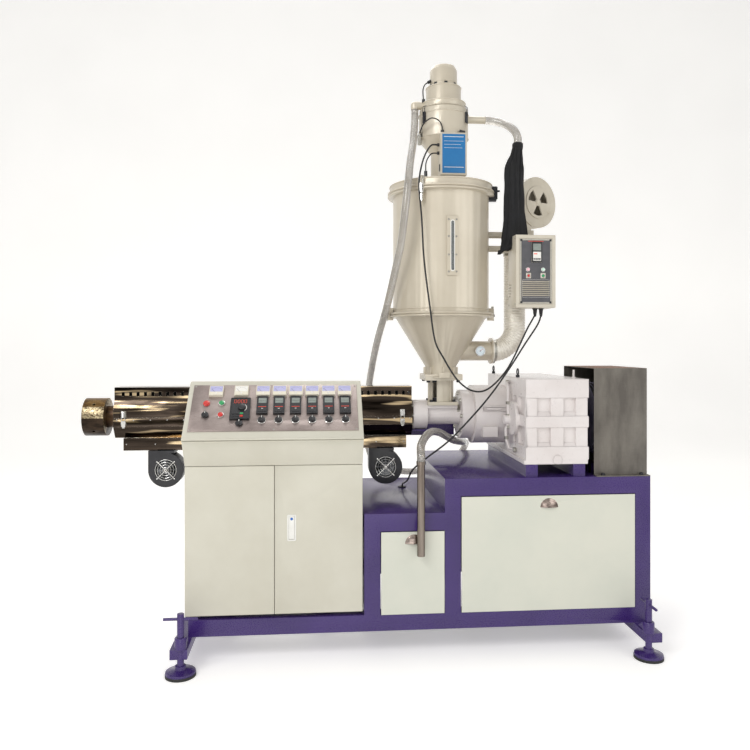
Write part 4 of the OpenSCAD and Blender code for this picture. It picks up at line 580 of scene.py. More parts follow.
# Floor and wall of the studio, which aren't part of the model.
STUDIO_FLOOR = Finish(
    "PaleStudioFloor", "purple_paint", "#f4f3f1", "#efeeec", 900, 0.5, rough=0.7, grain_mm=8, relief=0.02,
    glow=0.42,
)
# Pale face of the thermometer.
DIAL_FACE = Finish(
    "PaleBlueDialFace", "instrument_plastic", "#d3dfe6", "#e6edf0", 14, 0.5, rough=0.4, relief=0.01
)


def shown(name: str, data: bpy.types.ID) -> bpy.types.Object:
    """Add an object with the given mesh, lamp or camera to the scene."""
    made = bpy.data.objects.new(name, data)
    bpy.context.scene.collection.objects.link(made)
    return made


def evaluated(made: bpy.types.Object) -> bpy.types.Object:
    """Give an object as its modifiers leave it."""
    return made.evaluated_get(bpy.context.evaluated_depsgraph_get())


def place(at: Point, along: Point = UP, spin: float = 0.0) -> Matrix:
    """Give the frame of a piece whose local Z points a given way.

    Args:
        at: Its origin in millimetres.
        along: Where its Z axis points.
        spin: Turn about that axis in degrees.

    Returns:
        The matrix from local to machine coordinates.
    """
    turn = Vector(UP).rotation_difference(Vector(along).normalized()).to_matrix().to_4x4()
    return Matrix.Translation(Vector(at)) @ turn @ Matrix.Rotation(math.radians(spin), 4, "Z")


def on_skin(axis_x: float, turn: float, radius: float, z: float) -> Matrix:
    """Give a frame on the skin of an upright cylinder at y = 0.

    Args:
        axis_x: Where its axis stands.
        turn: Angle about the axis in degrees, from the side that faces the operator.
        radius: Its radius.
        z: Height of the frame's origin.

    Returns:
        The frame, with X across, Y up and Z outward.
    """
    middle = Matrix.Translation((axis_x, 0, z)) @ Matrix.Rotation(math.radians(turn), 4, "Z")
    return middle @ Matrix.Translation((0, -radius, 0)) @ STANDING


def across(at: Point, inward: float = 1.0) -> Matrix:
    """Give a frame at a point with X along inward times Y, Y up and Z along X."""
    return Matrix.Translation(at) @ Matrix(((0, 0, 1, 0), (inward, 0, 0, 0), (0, 1, 0, 0), (0, 0, 0, 1)))


def spot_at(where: Matrix) -> Facing:
    """Give a frame's origin and the way of its Z axis."""
    return tuple(where.translation), tuple(where.to_3x3() @ Vector(UP))


def smooth_route(points: Sequence[Point], step: float) -> list[Vector]:
    """Pass one smooth curve through the points of a route.

    Args:
        points: The route in millimetres.
        step: Greatest distance between two points of the result.

    Returns:
        The denser route, ends included.
    """
    line = [Vector(p) for p in points]
    line = [line[0] * 2 - line[1], *line, line[-1] * 2 - line[-2]]
    result = [line[1]]
    for a, b, c, d in zip(line, line[1:], line[2:], line[3:]):
        knots = [0.0]
        for first, second in ((a, b), (b, c), (c, d)):
            knots.append(knots[-1] + max(1e-6, (second - first).length) ** 0.5)
        count = max(1, math.ceil((c - b).length / step))
        for i in range(1, count + 1):
            t = knots[1] + (knots[2] - knots[1]) * i / count

            def between(u: Vector, v: Vector, low: int, high: int) -> Vector:
                """Give the point between u and v at t, where t runs from one knot to another."""
                return u.lerp(v, (t - knots[low]) / (knots[high] - knots[low]))

            e, f, g = between(a, b, 0, 1), between(b, c, 1, 2), between(c, d, 2, 3)
            result.append(between(between(e, f, 0, 2), between(f, g, 1, 3), 1, 2))
    return result


def turned_frames(path: Sequence[Vector]) -> list[Matrix]:
    """Give a frame at each point of a path whose Z follows it, without twist.

    Args:
        path: Points in millimetres.

    Returns:
        One matrix for each point.
    """
    ways = [(path[min(i + 1, len(path) - 1)] - path[max(i - 1, 0)]).normalized() for i in range(len(path))]
    turn = Vector(UP).rotation_difference(ways[0])
    frames = []
    for i, way in enumerate(ways):
        if i:
            turn = ways[i - 1].rotation_difference(way) @ turn
        frames.append(Matrix.Translation(path[i]) @ turn.to_matrix().to_4x4())
    return frames


def circle(radius: float, sides: int = 40) -> list[Span]:
    """Give a circle's outline.

    Args:
        radius: Its radius.
        sides: Number of points.

    Returns:
        The outline's points.
    """
    return [
        (radius * math.cos(math.tau * i / sides), radius * math.sin(math.tau * i / sides))
        for i in range(sides)
    ]


def slab(low: Span, high: Span, corner: float = 0.0, steps: int = 4) -> list:
    """Give a rectangle's outline with rounded corners.

    Args:
        low: Lowest corner.
        high: Highest corner.
        corner: Radius of the corners.
        steps: Segments in each corner.

    Returns:
        The outline's points.
    """
    if not corner:
        return [low, (high[0], low[1]), high, (low[0], high[1])]
    middles = [
        (high[0] - corner, high[1] - corner, 0), (low[0] + corner, high[1] - corner, 90),
        (low[0] + corner, low[1] + corner, 180), (high[0] - corner, low[1] + corner, 270),
    ]
    angles = [i * 90 / steps for i in range(steps + 1)]
    return [
        (x + corner * math.cos(math.radians(start + a)), y + corner * math.sin(math.radians(start + a)))
        for x, y, start in middles
        for a in angles
    ]


class Solid:
    """Geometry gathered in millimetres that becomes one object at the origin."""

    def __init__(self, name: str, finish: Finish, where: Matrix | None = None) -> None:
        """Start an empty piece.

        Args:
            name: The object's name.
            finish: The finish of what is added first.
            where: Frame in which the shapes are given, or None for the machine's own.
        """
        self.name = name
        self.finishes: list[Finish] = []
        self.where = Matrix.Identity(4)
        self.mesh = bmesh.new()
        self.use(finish, where)

    def use(self, finish: Finish, where: Matrix | None = None) -> Solid:
        """Give what is added from now on this finish, and this frame where one is given.

        Args:
            finish: The finish.
            where: The new frame, or None to keep the old one.

        Returns:
            The same piece.
        """
        if finish not in self.finishes:
            self.finishes.append(finish)
        self.current = self.finishes.index(finish)
        self.where = where or self.where
        return self

    def loft(
        self, rings: Sequence[Sequence[Sequence[float]]], capped: bool = True, looped: bool = False
    ) -> Solid:
        """Join rings of equal count by a skin.

        Args:
            rings: Rings of points in the current frame.
            capped: Whether the first and the last ring are closed by a face.
            looped: Whether the last ring joins the first.

        Returns:
            The same piece.
        """
        rows = [[self.mesh.verts.new(self.where @ Vector(p)) for p in ring] for ring in rings]
        faces = []
        for low, high in zip(rows, rows[1:] + ([rows[0]] if looped else [])):
            for i in range(len(low)):
                j = (i + 1) % len(low)
                faces.append(self.mesh.faces.new((low[i], low[j], high[j], high[i])))
        if capped and not looped:
            faces += [self.mesh.faces.new(rows[0][::-1]), self.mesh.faces.new(rows[-1])]
        for face in faces:
            face.material_index = self.current
        return self

    def prism(self, outline: Iterable[Span], low: float, high: float) -> Solid:
        """Raise an outline along the frame's Z from low to high."""
        edge = list(outline)
        return self.loft([[(x, y, z) for x, y in edge] for z in (low, high)])

    def box(self, low: Point, high: Point, corner: float = 0.0) -> Solid:
        """Add a box between two corners, with its upright edges rounded by corner."""
        return self.prism(slab(low[:2], high[:2], corner), low[2], high[2])

    def frame_of(self, outer: Sequence, inner: Sequence, low: float, high: float) -> Solid:
        """Raise a frame between two outlines of equal count.

        Args:
            outer: The outer outline.
            inner: The inner outline.
            low: Lower end along Z.
            high: Upper end along Z.

        Returns:
            The same piece.
        """
        rings = [(outer, low), (outer, high), (inner, high), (inner, low)]
        return self.loft([[(x, y, z) for x, y in edge] for edge, z in rings], looped=True)

    def lathe(
        self, profile: Profile, sides: int = 48, looped: bool = False, at: Point = (0, 0, 0)
    ) -> Solid:
        """Turn a profile of radius and height about an axis along the frame's Z.

        Args:
            profile: Radius and height of each ring.
            sides: Number of sides.
            looped: Whether the profile closes on itself.
            at: A point on the axis, from which the heights count.

        Returns:
            The same piece.
        """
        rings = [[(at[0] + x, at[1] + y, at[2] + z) for x, y in circle(r, sides)] for r, z in profile]
        return self.loft(rings, looped=looped)

    def tube(
        self, path: Sequence[Vector], radius: float | Callable[[float], float], sides: int = 16
    ) -> Solid:
        """Sweep a circle along a path.

        Args:
            path: Points in millimetres.
            radius: The radius, or a function of the length from the start.
            sides: Number of sides.

        Returns:
            The same piece.
        """
        rings, length = [], 0.0
        for i, frame in enumerate(turned_frames(path)):
            length += (path[i] - path[i - 1]).length if i else 0.0
            size = radius(length) if callable(radius) else radius
            rings.append([frame @ Vector((x, y, 0)) for x, y in circle(size, sides)])
        return self.loft(rings)

    def done(
        self, body: str = BASE, bevel: float = 0.0, replaces: Sequence[str] = (), angle: float = SHARP
    ) -> bpy.types.Object:
        """Make the object.

        Args:
            body: The CAD body it rides on.
            bevel: Width of its rounded edges in millimetres.
            replaces: CAD nodes that it stands for.
            angle: Edges that turn more than this many degrees are kept sharp or rounded.

        Returns:
            The new object.
        """
        bmesh.ops.recalc_face_normals(self.mesh, faces=self.mesh.faces)
        bmesh.ops.scale(self.mesh, vec=(MM, MM, MM), verts=self.mesh.verts)
        data = bpy.data.meshes.new(self.name)
        self.mesh.to_mesh(data)
        self.mesh.free()
        return finished(data, self.name, self.finishes, body, bevel, replaces, angle)


def finished(
    data: bpy.types.Mesh, name: str, finishes: Sequence[Finish], body: str, bevel: float,
    replaces: Sequence[str], angle: float
) -> bpy.types.Object:
    """Turn a mesh in metres to a shaded object that rides on a body.

    Args:
        data: The mesh.
        name: The object's name.
        finishes: Its finishes in the order of its face indices.
        body: The CAD body it rides on.
        bevel: Width of its rounded edges in millimetres.
        replaces: CAD nodes that it stands for.
        angle: Edges that turn more than this many degrees are kept sharp or rounded.

    Returns:
        The new object.
    """
    made = shown(name, data)
    for finish in finishes:
        data.materials.append(finish.made())
    data.polygons.foreach_set("use_smooth", [True] * len(data.polygons))
    if bevel:
        rounding = made.modifiers.new("rounded_edges", "BEVEL")
        rounding.width = bevel * MM
        rounding.segments = 3
        rounding.limit_method = "ANGLE"
        rounding.angle_limit = math.radians(angle)
        rounding.harden_normals = True
        rounding.use_clamp_overlap = True
    else:
        data.set_sharp_from_angle(angle=math.radians(angle))
    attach(made, body)
    if replaces:
        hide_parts(*replaces)
    return made


@dataclass(frozen=True)
class Area:
    """Faces of a CAD node that take their own finish.

    Attributes:
        finish: The finish.
        low: Lowest corner of the box that holds the faces, in millimetres.
        high: Its highest corner.
    """

    finish: Finish
    low: Point
    high: Point


class Dressing:
    """Gives the CAD nodes their finishes and shows them with merged, smooth surfaces."""

    # Distance in metres at which corners merge, and angle in degrees below which faces count as one.
    MERGE_M, FLAT_DEG = 2e-5, 0.6

    def __init__(self, frame: dict) -> None:
        """Keep the loaded frame."""
        self.frame = frame

    def body(self, node: str) -> str:
        """Give the body that a node rides on."""
        return node if node in self.frame["bodies"] else BASE

    def carved(self, data: bpy.types.Mesh, pockets: Sequence[Box]) -> bpy.types.Mesh:
        """Cut the shallow pockets of a casting into a copy's mesh.

        Args:
            data: The mesh in metres.
            pockets: Low and high corner of each pocket in millimetres.

        Returns:
            The mesh with its pockets.
        """
        cutter = bmesh.new()
        for low, high in pockets:
            for vertex in bmesh.ops.create_cube(cutter, size=1.0)["verts"]:
                middle = [(a + b) / 2 + (b - a) * c for a, b, c in zip(low, high, vertex.co)]
                vertex.co = Vector(middle) * MM
        blocks = bpy.data.meshes.new("pocket_blocks")
        cutter.to_mesh(blocks)
        cutter.free()
        casting, tool = (shown(mesh.name, mesh) for mesh in (data, blocks))
        cut = casting.modifiers.new("pockets", "BOOLEAN")
        cut.operation, cut.solver, cut.object, cut.use_self = "DIFFERENCE", "EXACT", tool, True
        result = bpy.data.meshes.new_from_object(evaluated(casting))
        for made in (casting, tool):
            bpy.data.objects.remove(made)
        return result

    def dress(
        self, node: str, finish: Finish, areas: Sequence[Area] = (), bevel: float = 0.0,
        angle: float = SHARP, pockets: Sequence[Box] = (),
    ) -> None:
        """Show a CAD node by a copy with merged corners and the given finish.

        Args:
            node: The CAD node.
            finish: Its main finish.
            areas: Boxes whose faces take another finish.
            bevel: Width of its rounded edges in millimetres.
            angle: Edges that turn more than this many degrees stay sharp.
            pockets: Low and high corners of shallow pockets to cut.
        """
        source = self.frame["nodes"][node]
        mesh = bmesh.new()
        mesh.from_mesh(source.data)
        mesh.transform(source.matrix_world)
        bmesh.ops.remove_doubles(mesh, verts=mesh.verts, dist=self.MERGE_M)
        bmesh.ops.dissolve_limit(
            mesh, angle_limit=math.radians(self.FLAT_DEG), use_dissolve_boundaries=False, verts=mesh.verts,
            edges=mesh.edges
        )
        bmesh.ops.recalc_face_normals(mesh, faces=mesh.faces)
        finishes = [finish]
        for area in areas:
            if area.finish not in finishes:
                finishes.append(area.finish)
            low, high = (Vector(corner) * MM for corner in (area.low, area.high))
            for face in mesh.faces:
                middle = face.calc_center_median()
                if all(low[i] <= middle[i] <= high[i] for i in range(3)):
                    face.material_index = finishes.index(area.finish)
        data = bpy.data.meshes.new(node + "_look")
        mesh.to_mesh(data)
        mesh.free()
        if pockets:
            data = self.carved(data, pockets)
        finished(data, node + "_look", finishes, self.body(node), bevel, (node,), angle)


@dataclass
class Repeated:
    """One small shape that Geometry Nodes set on many points.

    Attributes:
        name: The object's name.
        finish: The finish of the shapes.
        sizes: The shape's sizes in millimetres, by the name of the group's input.
        second: Finish of the part of the shape that is marked as its recess, by default painted shade.
    """

    name: str
    finish: Finish
    sizes: dict[str, float]
    second: Finish = PAINTED_SHADE_RECESS

    def shape(self, tree: Tree, start: Node) -> Socket:
        """Build the shape from the group's inputs, standing on its point along Z."""
        raise NotImplementedError

    def lifted(self, tree: Tree, piece: Socket, rise: Socket) -> Socket:
        """Move a shape up by half of a size."""
        half = add(tree, "ShaderNodeMath", {0: rise, 1: 0.5}, operation="MULTIPLY")
        up = add(tree, "ShaderNodeCombineXYZ", {"Z": half.outputs[0]})
        return add(
            tree, "GeometryNodeTransform", {"Geometry": piece, "Translation": up.outputs[0]}
        ).outputs[0]

    def tree(self) -> tuple[Tree, dict[str, str]]:
        """Build the node group.

        Returns:
            The group, and the identifiers of its inputs by name.
        """
        tree = bpy.data.node_groups.new(self.name + "_nodes", "GeometryNodeTree")
        face = tree.interface
        face.new_socket("Points", in_out="INPUT", socket_type="NodeSocketGeometry")
        known = {}
        for key in [*self.sizes, "Loose", "Seed"]:
            kind = "NodeSocketInt" if key in ("Seed", "Sides") else "NodeSocketFloat"
            known[key] = face.new_socket(key, in_out="INPUT", socket_type=kind).identifier
        face.new_socket("Pieces", in_out="OUTPUT", socket_type="NodeSocketGeometry")
        start = add(tree, "NodeGroupInput")
        facing = add(tree, "GeometryNodeInputNamedAttribute", {"Name": "facing"}, data_type="FLOAT_VECTOR")
        upright = add(tree, "FunctionNodeAlignRotationToVector", {"Vector": facing.outputs[0]}, axis="Z")
        low = add(tree, "ShaderNodeMath", {0: start.outputs["Loose"], 1: -1.0}, operation="MULTIPLY")
        turn = add(tree, "FunctionNodeRandomValue", {"Seed": start.outputs["Seed"]}, data_type="FLOAT")
        tree.links.new(low.outputs[0], turn.inputs[2])
        tree.links.new(start.outputs["Loose"], turn.inputs[3])
        spin = add(tree, "FunctionNodeAxisAngleToRotation", {"Axis": (0, 0, 1), "Angle": turn.outputs[1]})
        both = {"Rotation": upright.outputs[0], "Rotate By": spin.outputs[0]}
        turned = add(tree, "FunctionNodeRotateRotation", both, rotation_space="LOCAL")
        inputs = {
            "Points": start.outputs["Points"], "Instance": self.shape(tree, start),
            "Rotation": turned.outputs[0],
        }
        placed = add(tree, "GeometryNodeInstanceOnPoints", inputs)
        real = add(tree, "GeometryNodeRealizeInstances", {"Geometry": placed.outputs[0]})
        first = add(
            tree, "GeometryNodeSetMaterial", {"Geometry": real.outputs[0], "Material": self.finish.made()}
        )
        mark = add(tree, "GeometryNodeInputNamedAttribute", {"Name": "recess"}, data_type="BOOLEAN")
        marked = {
            "Geometry": first.outputs[0], "Selection": mark.outputs[0], "Material": self.second.made()
        }
        tree.links.new(
            add(tree, "GeometryNodeSetMaterial", marked).outputs[0], add(tree, "NodeGroupOutput").inputs[0]
        )
        return tree, known

    def on(self, spots: Sequence[Facing], loose: float = 0.0) -> None:
        """Set the shape on each spot and turn the result to a plain mesh.

        Args:
            spots: Point in millimetres and direction of each shape.
            loose: Greatest turn of a shape about its axis in radians.
        """
        data = bpy.data.meshes.new(self.name)
        data.from_pydata([Vector(at) * MM for at, _ in spots], [], [])
        ways = [part for _, way in spots for part in Vector(way).normalized()]
        data.attributes.new("facing", "FLOAT_VECTOR", "POINT").data.foreach_set("vector", ways)
        made = shown(self.name, data)
        tree, known = self.tree()
        work = made.modifiers.new("repeat", "NODES")
        work.node_group = tree
        for key, value in self.sizes.items():
            work[known[key]] = int(value) if key == "Sides" else value * MM
        work[known["Loose"]] = loose
        work[known["Seed"]] = TURN_SEED
        whole = bpy.data.meshes.new_from_object(evaluated(made))
        made.modifiers.clear()
        made.data = whole
        whole.name = self.name
        whole.set_sharp_from_angle(angle=math.radians(35))
        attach(made, BASE)


class Caps(Repeated):
    """Screw, bolt or rivet heads: a slightly conical head with a near black drive in its top, painted shade
    in place of a hole.
    """

    def shape(self, tree: Tree, start: Node) -> Socket:
        """Build a head from Radius, Top, Height, Drive and Sides."""
        size = {name: start.outputs[name] for name in ("Radius", "Top", "Height", "Drive", "Sides")}
        head = add(
            tree, "GeometryNodeMeshCone",
            {
                "Vertices": size["Sides"], "Radius Top": size["Top"],
                "Radius Bottom": size["Radius"], "Depth": size["Height"],
            },
        )
        # The drive is a hexagon in the second finish, which by default paints the shade of a socket.
        deep = add(tree, "ShaderNodeMath", {0: size["Height"], 1: 1.06}, operation="MULTIPLY")
        hexagon = {"Vertices": 6, "Radius": size["Drive"], "Depth": deep.outputs[0]}
        drive = add(tree, "GeometryNodeMeshCylinder", hexagon)
        risen = self.lifted(tree, drive.outputs[0], deep.outputs[0])
        marked = {"Geometry": risen, "Name": "recess", "Value": True}
        recess = add(tree, "GeometryNodeStoreNamedAttribute", marked, data_type="BOOLEAN", domain="FACE")
        joined = add(tree, "GeometryNodeJoinGeometry")
        tree.links.new(recess.outputs[0], joined.inputs[0])
        tree.links.new(head.outputs[0], joined.inputs[0])
        return joined.outputs[0]


class Bars(Repeated):
    """Small bars, such as scale marks, slats and fins."""

    def shape(self, tree: Tree, start: Node) -> Socket:
        """Build a bar from Width, Depth and Height."""
        size = {"X": start.outputs["Width"], "Y": start.outputs["Depth"], "Z": start.outputs["Height"]}
        edge = add(tree, "ShaderNodeCombineXYZ", size)
        bar = add(tree, "GeometryNodeMeshCube", {"Size": edge.outputs[0]})
        return self.lifted(tree, bar.outputs[0], size["Z"])


class Rings(Repeated):
    """Wire rings about their facing, such as guard rings and hose ribs."""

    def shape(self, tree: Tree, start: Node) -> Socket:
        """Build a ring from Radius and Wire."""
        hoop, wire = (
            add(
                tree, "GeometryNodeCurvePrimitiveCircle",
                {"Resolution": count, "Radius": start.outputs[name]}
            )
            for count, name in ((40, "Radius"), (8, "Wire"))
        )
        swept = {"Curve": hoop.outputs[0], "Profile Curve": wire.outputs[0]}
        return add(tree, "GeometryNodeCurveToMesh", swept).outputs[0]


def screws(
    name: str, spots: Sequence[Facing], radius: float, height: float, finish: Finish = ZINC,
    socket: bool = False
) -> None:
    """Set low round heads, or cylinder heads with a wide hexagon socket.

    Args:
        name: The object's name.
        spots: Point and direction of each head's seat.
        radius: Radius of a head.
        height: Height of a head.
        finish: Their finish.
        socket: Whether they are cylinder heads.
    """
    top, drive, sides = (0.94, 0.5, 24) if socket else (0.62, 0.3, 20)
    cut = {"Top": radius * top, "Drive": radius * drive, "Sides": sides}
    sizes = {"Radius": radius, "Height": height, **cut}
    Caps(name, finish, sizes).on(spots, loose=math.pi)


class Studio:
    """Camera, lamps, world and floor, in metres."""

    # Name, place, aim, side and power of each lamp.
    LAMPS = (
        ("key", (-2.6, -3.4, 3.9), (0.1, 0.0, 1.1), 2.2, 105),
        ("fill", (3.4, -3.0, 2.4), (0.4, 0.0, 1.2), 2.6, 34),
        ("top", (0.3, 1.2, 4.6), (0.3, 0.0, 1.4), 2.8, 60),
        ("low", (-0.6, -4.2, 0.9), (0.2, 0.0, 0.7), 2.0, 18),
    )
    # The camera as it was fitted to the photograph.
    LENS_MM, SENSOR_MM, SHIFT = 34.44, 36, -0.04
    EYE, HEADING = (-0.2077, -3.4955, 1.3395), -0.084
    # Strength of the world on the object, and where the camera or a reflection sees it.
    SOFT, SEEN = 0.42, 1.0

    def build(self) -> None:
        """Set up the studio."""
        scene = bpy.context.scene
        scene.view_settings.view_transform = "Standard"
        self.camera(scene)
        self.world(scene)
        self.floor()
        for lamp in self.LAMPS:
            self.lamp(*lamp)

    def camera(self, scene: bpy.types.Scene) -> None:
        """Set the camera where the photograph was taken from."""
        data = bpy.data.cameras.new("camera")
        data.lens, data.sensor_width, data.shift_y = self.LENS_MM, self.SENSOR_MM, self.SHIFT
        made = shown("camera", data)
        made.location = self.EYE
        made.rotation_euler = (math.pi / 2, 0, self.HEADING)
        scene.camera = made

    def world(self, scene: bpy.types.Scene) -> None:
        """Give the object soft light, and the camera and reflections a white background."""
        made = bpy.data.worlds.new("studio")
        made.use_nodes = True
        tree = made.node_tree
        paths = add(tree, "ShaderNodeLightPath").outputs
        seen = paths["Is Camera Ray"]
        for name in ("Is Glossy Ray", "Is Transmission Ray"):
            seen = add(tree, "ShaderNodeMath", {0: seen, 1: paths[name]}, operation="MAXIMUM").outputs[0]
        strength = ramp(tree, seen, (0.0, 1.0), (self.SOFT, self.SEEN))
        back = tree.nodes["Background"]
        back.inputs["Color"].default_value = linear("#f6f5f3")
        tree.links.new(strength, back.inputs["Strength"])
        scene.world = made

    def lamp(self, name: str, at: Point, aim: Point, width: float, power: float) -> None:
        """Add a square area lamp.

        Args:
            name: Its name.
            at: Its place in metres.
            aim: Where it points.
            width: Its side.
            power: Its power in watts.
        """
        data = bpy.data.lights.new(name, "AREA")
        data.size = width
        data.energy = power
        made = shown(name, data)
        made.location = at
        made.rotation_euler = (Vector(aim) - Vector(at)).to_track_quat("-Z", "Y").to_euler()

    def floor(self) -> None:
        """Lay a pale floor that sweeps up to a wall."""
        angles = [math.pi / 2 * i / 16 for i in range(1, 17)]
        bend = [(0.0, 0.0)] + [(2.0 * math.sin(a), 2.0 - 2.0 * math.cos(a)) for a in angles]
        line = [(-7.0, 0.0)] + [(4.0 + y, z) for y, z in bend] + [(6.0, 8.0)]
        mesh = bmesh.new()
        rows = [[mesh.verts.new((x, y, z)) for y, z in line] for x in (-9.0, 9.0)]
        for i in range(len(line) - 1):
            mesh.faces.new((rows[0][i], rows[1][i], rows[1][i + 1], rows[0][i + 1]))
        data = bpy.data.meshes.new("floor")
        mesh.to_mesh(data)
        mesh.free()
        data.polygons.foreach_set("use_smooth", [True] * len(data.polygons))
        data.materials.append(STUDIO_FLOOR.made())
        shown("floor", data)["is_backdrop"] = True


@dataclass(frozen=True)
class Cord:
    """A hose or cable.

    Attributes:
        name: The object's name.
        finish: Its finish.
        radius: Outer radius in millimetres.
        route: Points from its exit to its far end.
        stiffness: limp, medium or stiff; not used.
        replaces: CAD nodes it stands for.
        ripple: Depth of its ribs.
        pitch: Distance of its ribs.
        RIBBED_STEP: Greatest step along a ribbed hose.
        PLAIN_STEP: Greatest step along a plain cable.
    """

    RIBBED_STEP: ClassVar[float] = 3.0
    PLAIN_STEP: ClassVar[float] = 12.0

    name: str
    finish: Finish
    radius: float
    route: tuple[Point, ...]
    stiffness: str
    replaces: tuple[str, ...]
    ripple: float = 0.0
    pitch: float = 9.0

    def build(self) -> list[Vector]:
        """Lay the cord.

        Returns:
            The path it follows, in millimetres.
        """
        path = smooth_route(self.route, self.RIBBED_STEP if self.ripple else self.PLAIN_STEP)

        def size(length: float) -> float:
            """Give the radius at a length from the start."""
            return self.radius - self.ripple * (0.5 - 0.5 * math.cos(math.tau * length / self.pitch))

        made = Solid(self.name, self.finish).tube(path, size if self.ripple else self.radius, 20).done(
            replaces=self.replaces, angle=70
        )
        return path

    def spiral(self, path: Sequence[Vector], pitch: float, wire: float) -> None:
        """Wind the stiffening wire just under the hose's skin.

        Args:
            path: The hose's path.
            pitch: Distance between two turns.
            wire: Radius of the wire.
        """
        dense, length, points = turned_frames(path), 0.0, []
        for i in range(1, len(path)):
            step = (path[i] - path[i - 1]).length
            for part in range(4):
                turn = math.tau * (length + step * part / 4) / pitch
                local = Vector((math.cos(turn), math.sin(turn), 0)) * (
                    self.radius - self.ripple - wire * 0.6
                )
                points.append(dense[i - 1].lerp(dense[i], part / 4) @ local)
            length += step
        Solid(self.name + "_spiral", HOSE_SPIRAL).tube(points, wire, 6).done(angle=80)


class Cords:
    """Suction hose, exhaust hose and all cables."""

    SUCTION = (
        (283, 0, 2494), (283, 0, 2484), (282, -6, 2460), (278, -26, 2420), (262, -92, 2310),
        (236, -178, 2188),
        (219, -236, 2080), (204, -244, 1950), (188, -222, 1810), (164, -160, 1670), (136, -64, 1515),
        (108, 70, 1375), (92, 190, 1255), (76, 300, 1090), (70, 330, 940), (88, 372, 765), (150, 440, 682),
        (300, 504, 630), (480, 514, 648), (600, 476, 726), (628, 440, 785), (598, 332, 818),
        (552, 165, 840),
        (476, 10, 870), (380, -116, 924), (312, -250, 936), (254, -400, 900), (247, -448, 866),
        (246, -454, 846), (246, -454, 830),
    )
    EXHAUST = (
        (633, 0, 2452), (653, 0, 2452), (680, -7, 2446), (703, -21, 2436), (724, -39, 2422),
        (741, -58, 2405), (755, -75, 2386), (765, -90, 2363), (770, -98, 2339), (770, -98, 2316),
    )
    LOADER = (
        (376, -104, 2296), (354, -104, 2296), (326, -138, 2264), (284, -222, 2170), (268, -246, 2080),
        (280, -246, 1920), (290, -247, 1740), (316, -254, 1520), (344, -254, 1347), (374, -252, 1290),
        (450, -242, 1175), (520, -218, 1128), (590, -192, 1128), (690, -168, 1212), (806, -142, 1420),
        (846, -130, 1488), (846, -130, 1499),
    )
    SUPPLY = (
        (875, -130, 1499), (875, -130, 1488), (862, -140, 1450), (780, -176, 1340), (700, -194, 1225),
        (600, -212, 1096), (500, -226, 988), (400, -242, 894), (300, -242, 820), (248, -210, 768),
        (236, -90, 696), (238, 60, 652), (239, 145, 628), (239, 156, 600),
    )
    SENSOR = (
        (376, -104, 2256), (352, -106, 2254), (330, -126, 2230), (313, -157, 2190), (312, -160, 2170),
        (312, -160, 2156)
    )
    VALVE = (
        (304, -38, 2372), (302, -62, 2376), (314, -112, 2398), (345, -142, 2412), (378, -142, 2400),
        (395, -131, 2376), (396, -130, 2360),
    )
    MOTOR = ((346, -18, 2624), (330, -24, 2612), (320, -26, 2588), (320, -24, 2562), (322, -22, 2540))

    def build(self) -> None:
        """Lay every hose and cable."""
        suction = Cord("suction_hose_look", CLEAR_VINYL, 18, self.SUCTION, "medium", ("suction_hose",), 0.7)
        suction.spiral(suction.build(), 9.0, 0.9)
        exhaust = Cord("exhaust_hose_look", CLEAR_VINYL, 20, self.EXHAUST, "medium", ("exhaust_hose",), 0.7)
        exhaust.spiral(exhaust.build(), 9.0, 0.9)
        for name, radius, route, node in (
            ("loader_cable_look", 4, self.LOADER, "loader_cables"),
            ("supply_cable_look", 4, self.SUPPLY, "supply_cable"),
            ("sensor_lead_look", 3, self.SENSOR, "loader_cables"),
            ("valve_lead_look", 3, self.VALVE, "loader_cables"),
            ("motor_lead_look", 3, self.MOTOR, "loader_cables"),
        ):
            Cord(name, CABLE_SHEATH, radius, route, "medium", (node,)).build()
        for name, x in (("loader_relief", 846), ("supply_relief", 875)):
            profile = [
                (13, 0), (13, 4), (10.5, 5), (10.5, 9), (9.5, 10), (8.5, 22), (6.6, 34), (5.4, 40),
                (4.4, 40)
            ]
            Solid(name, CABLE_SHEATH, place((x, -130, 1515), (0, 0, -1))).lathe(profile, 24).done(bevel=0.6)


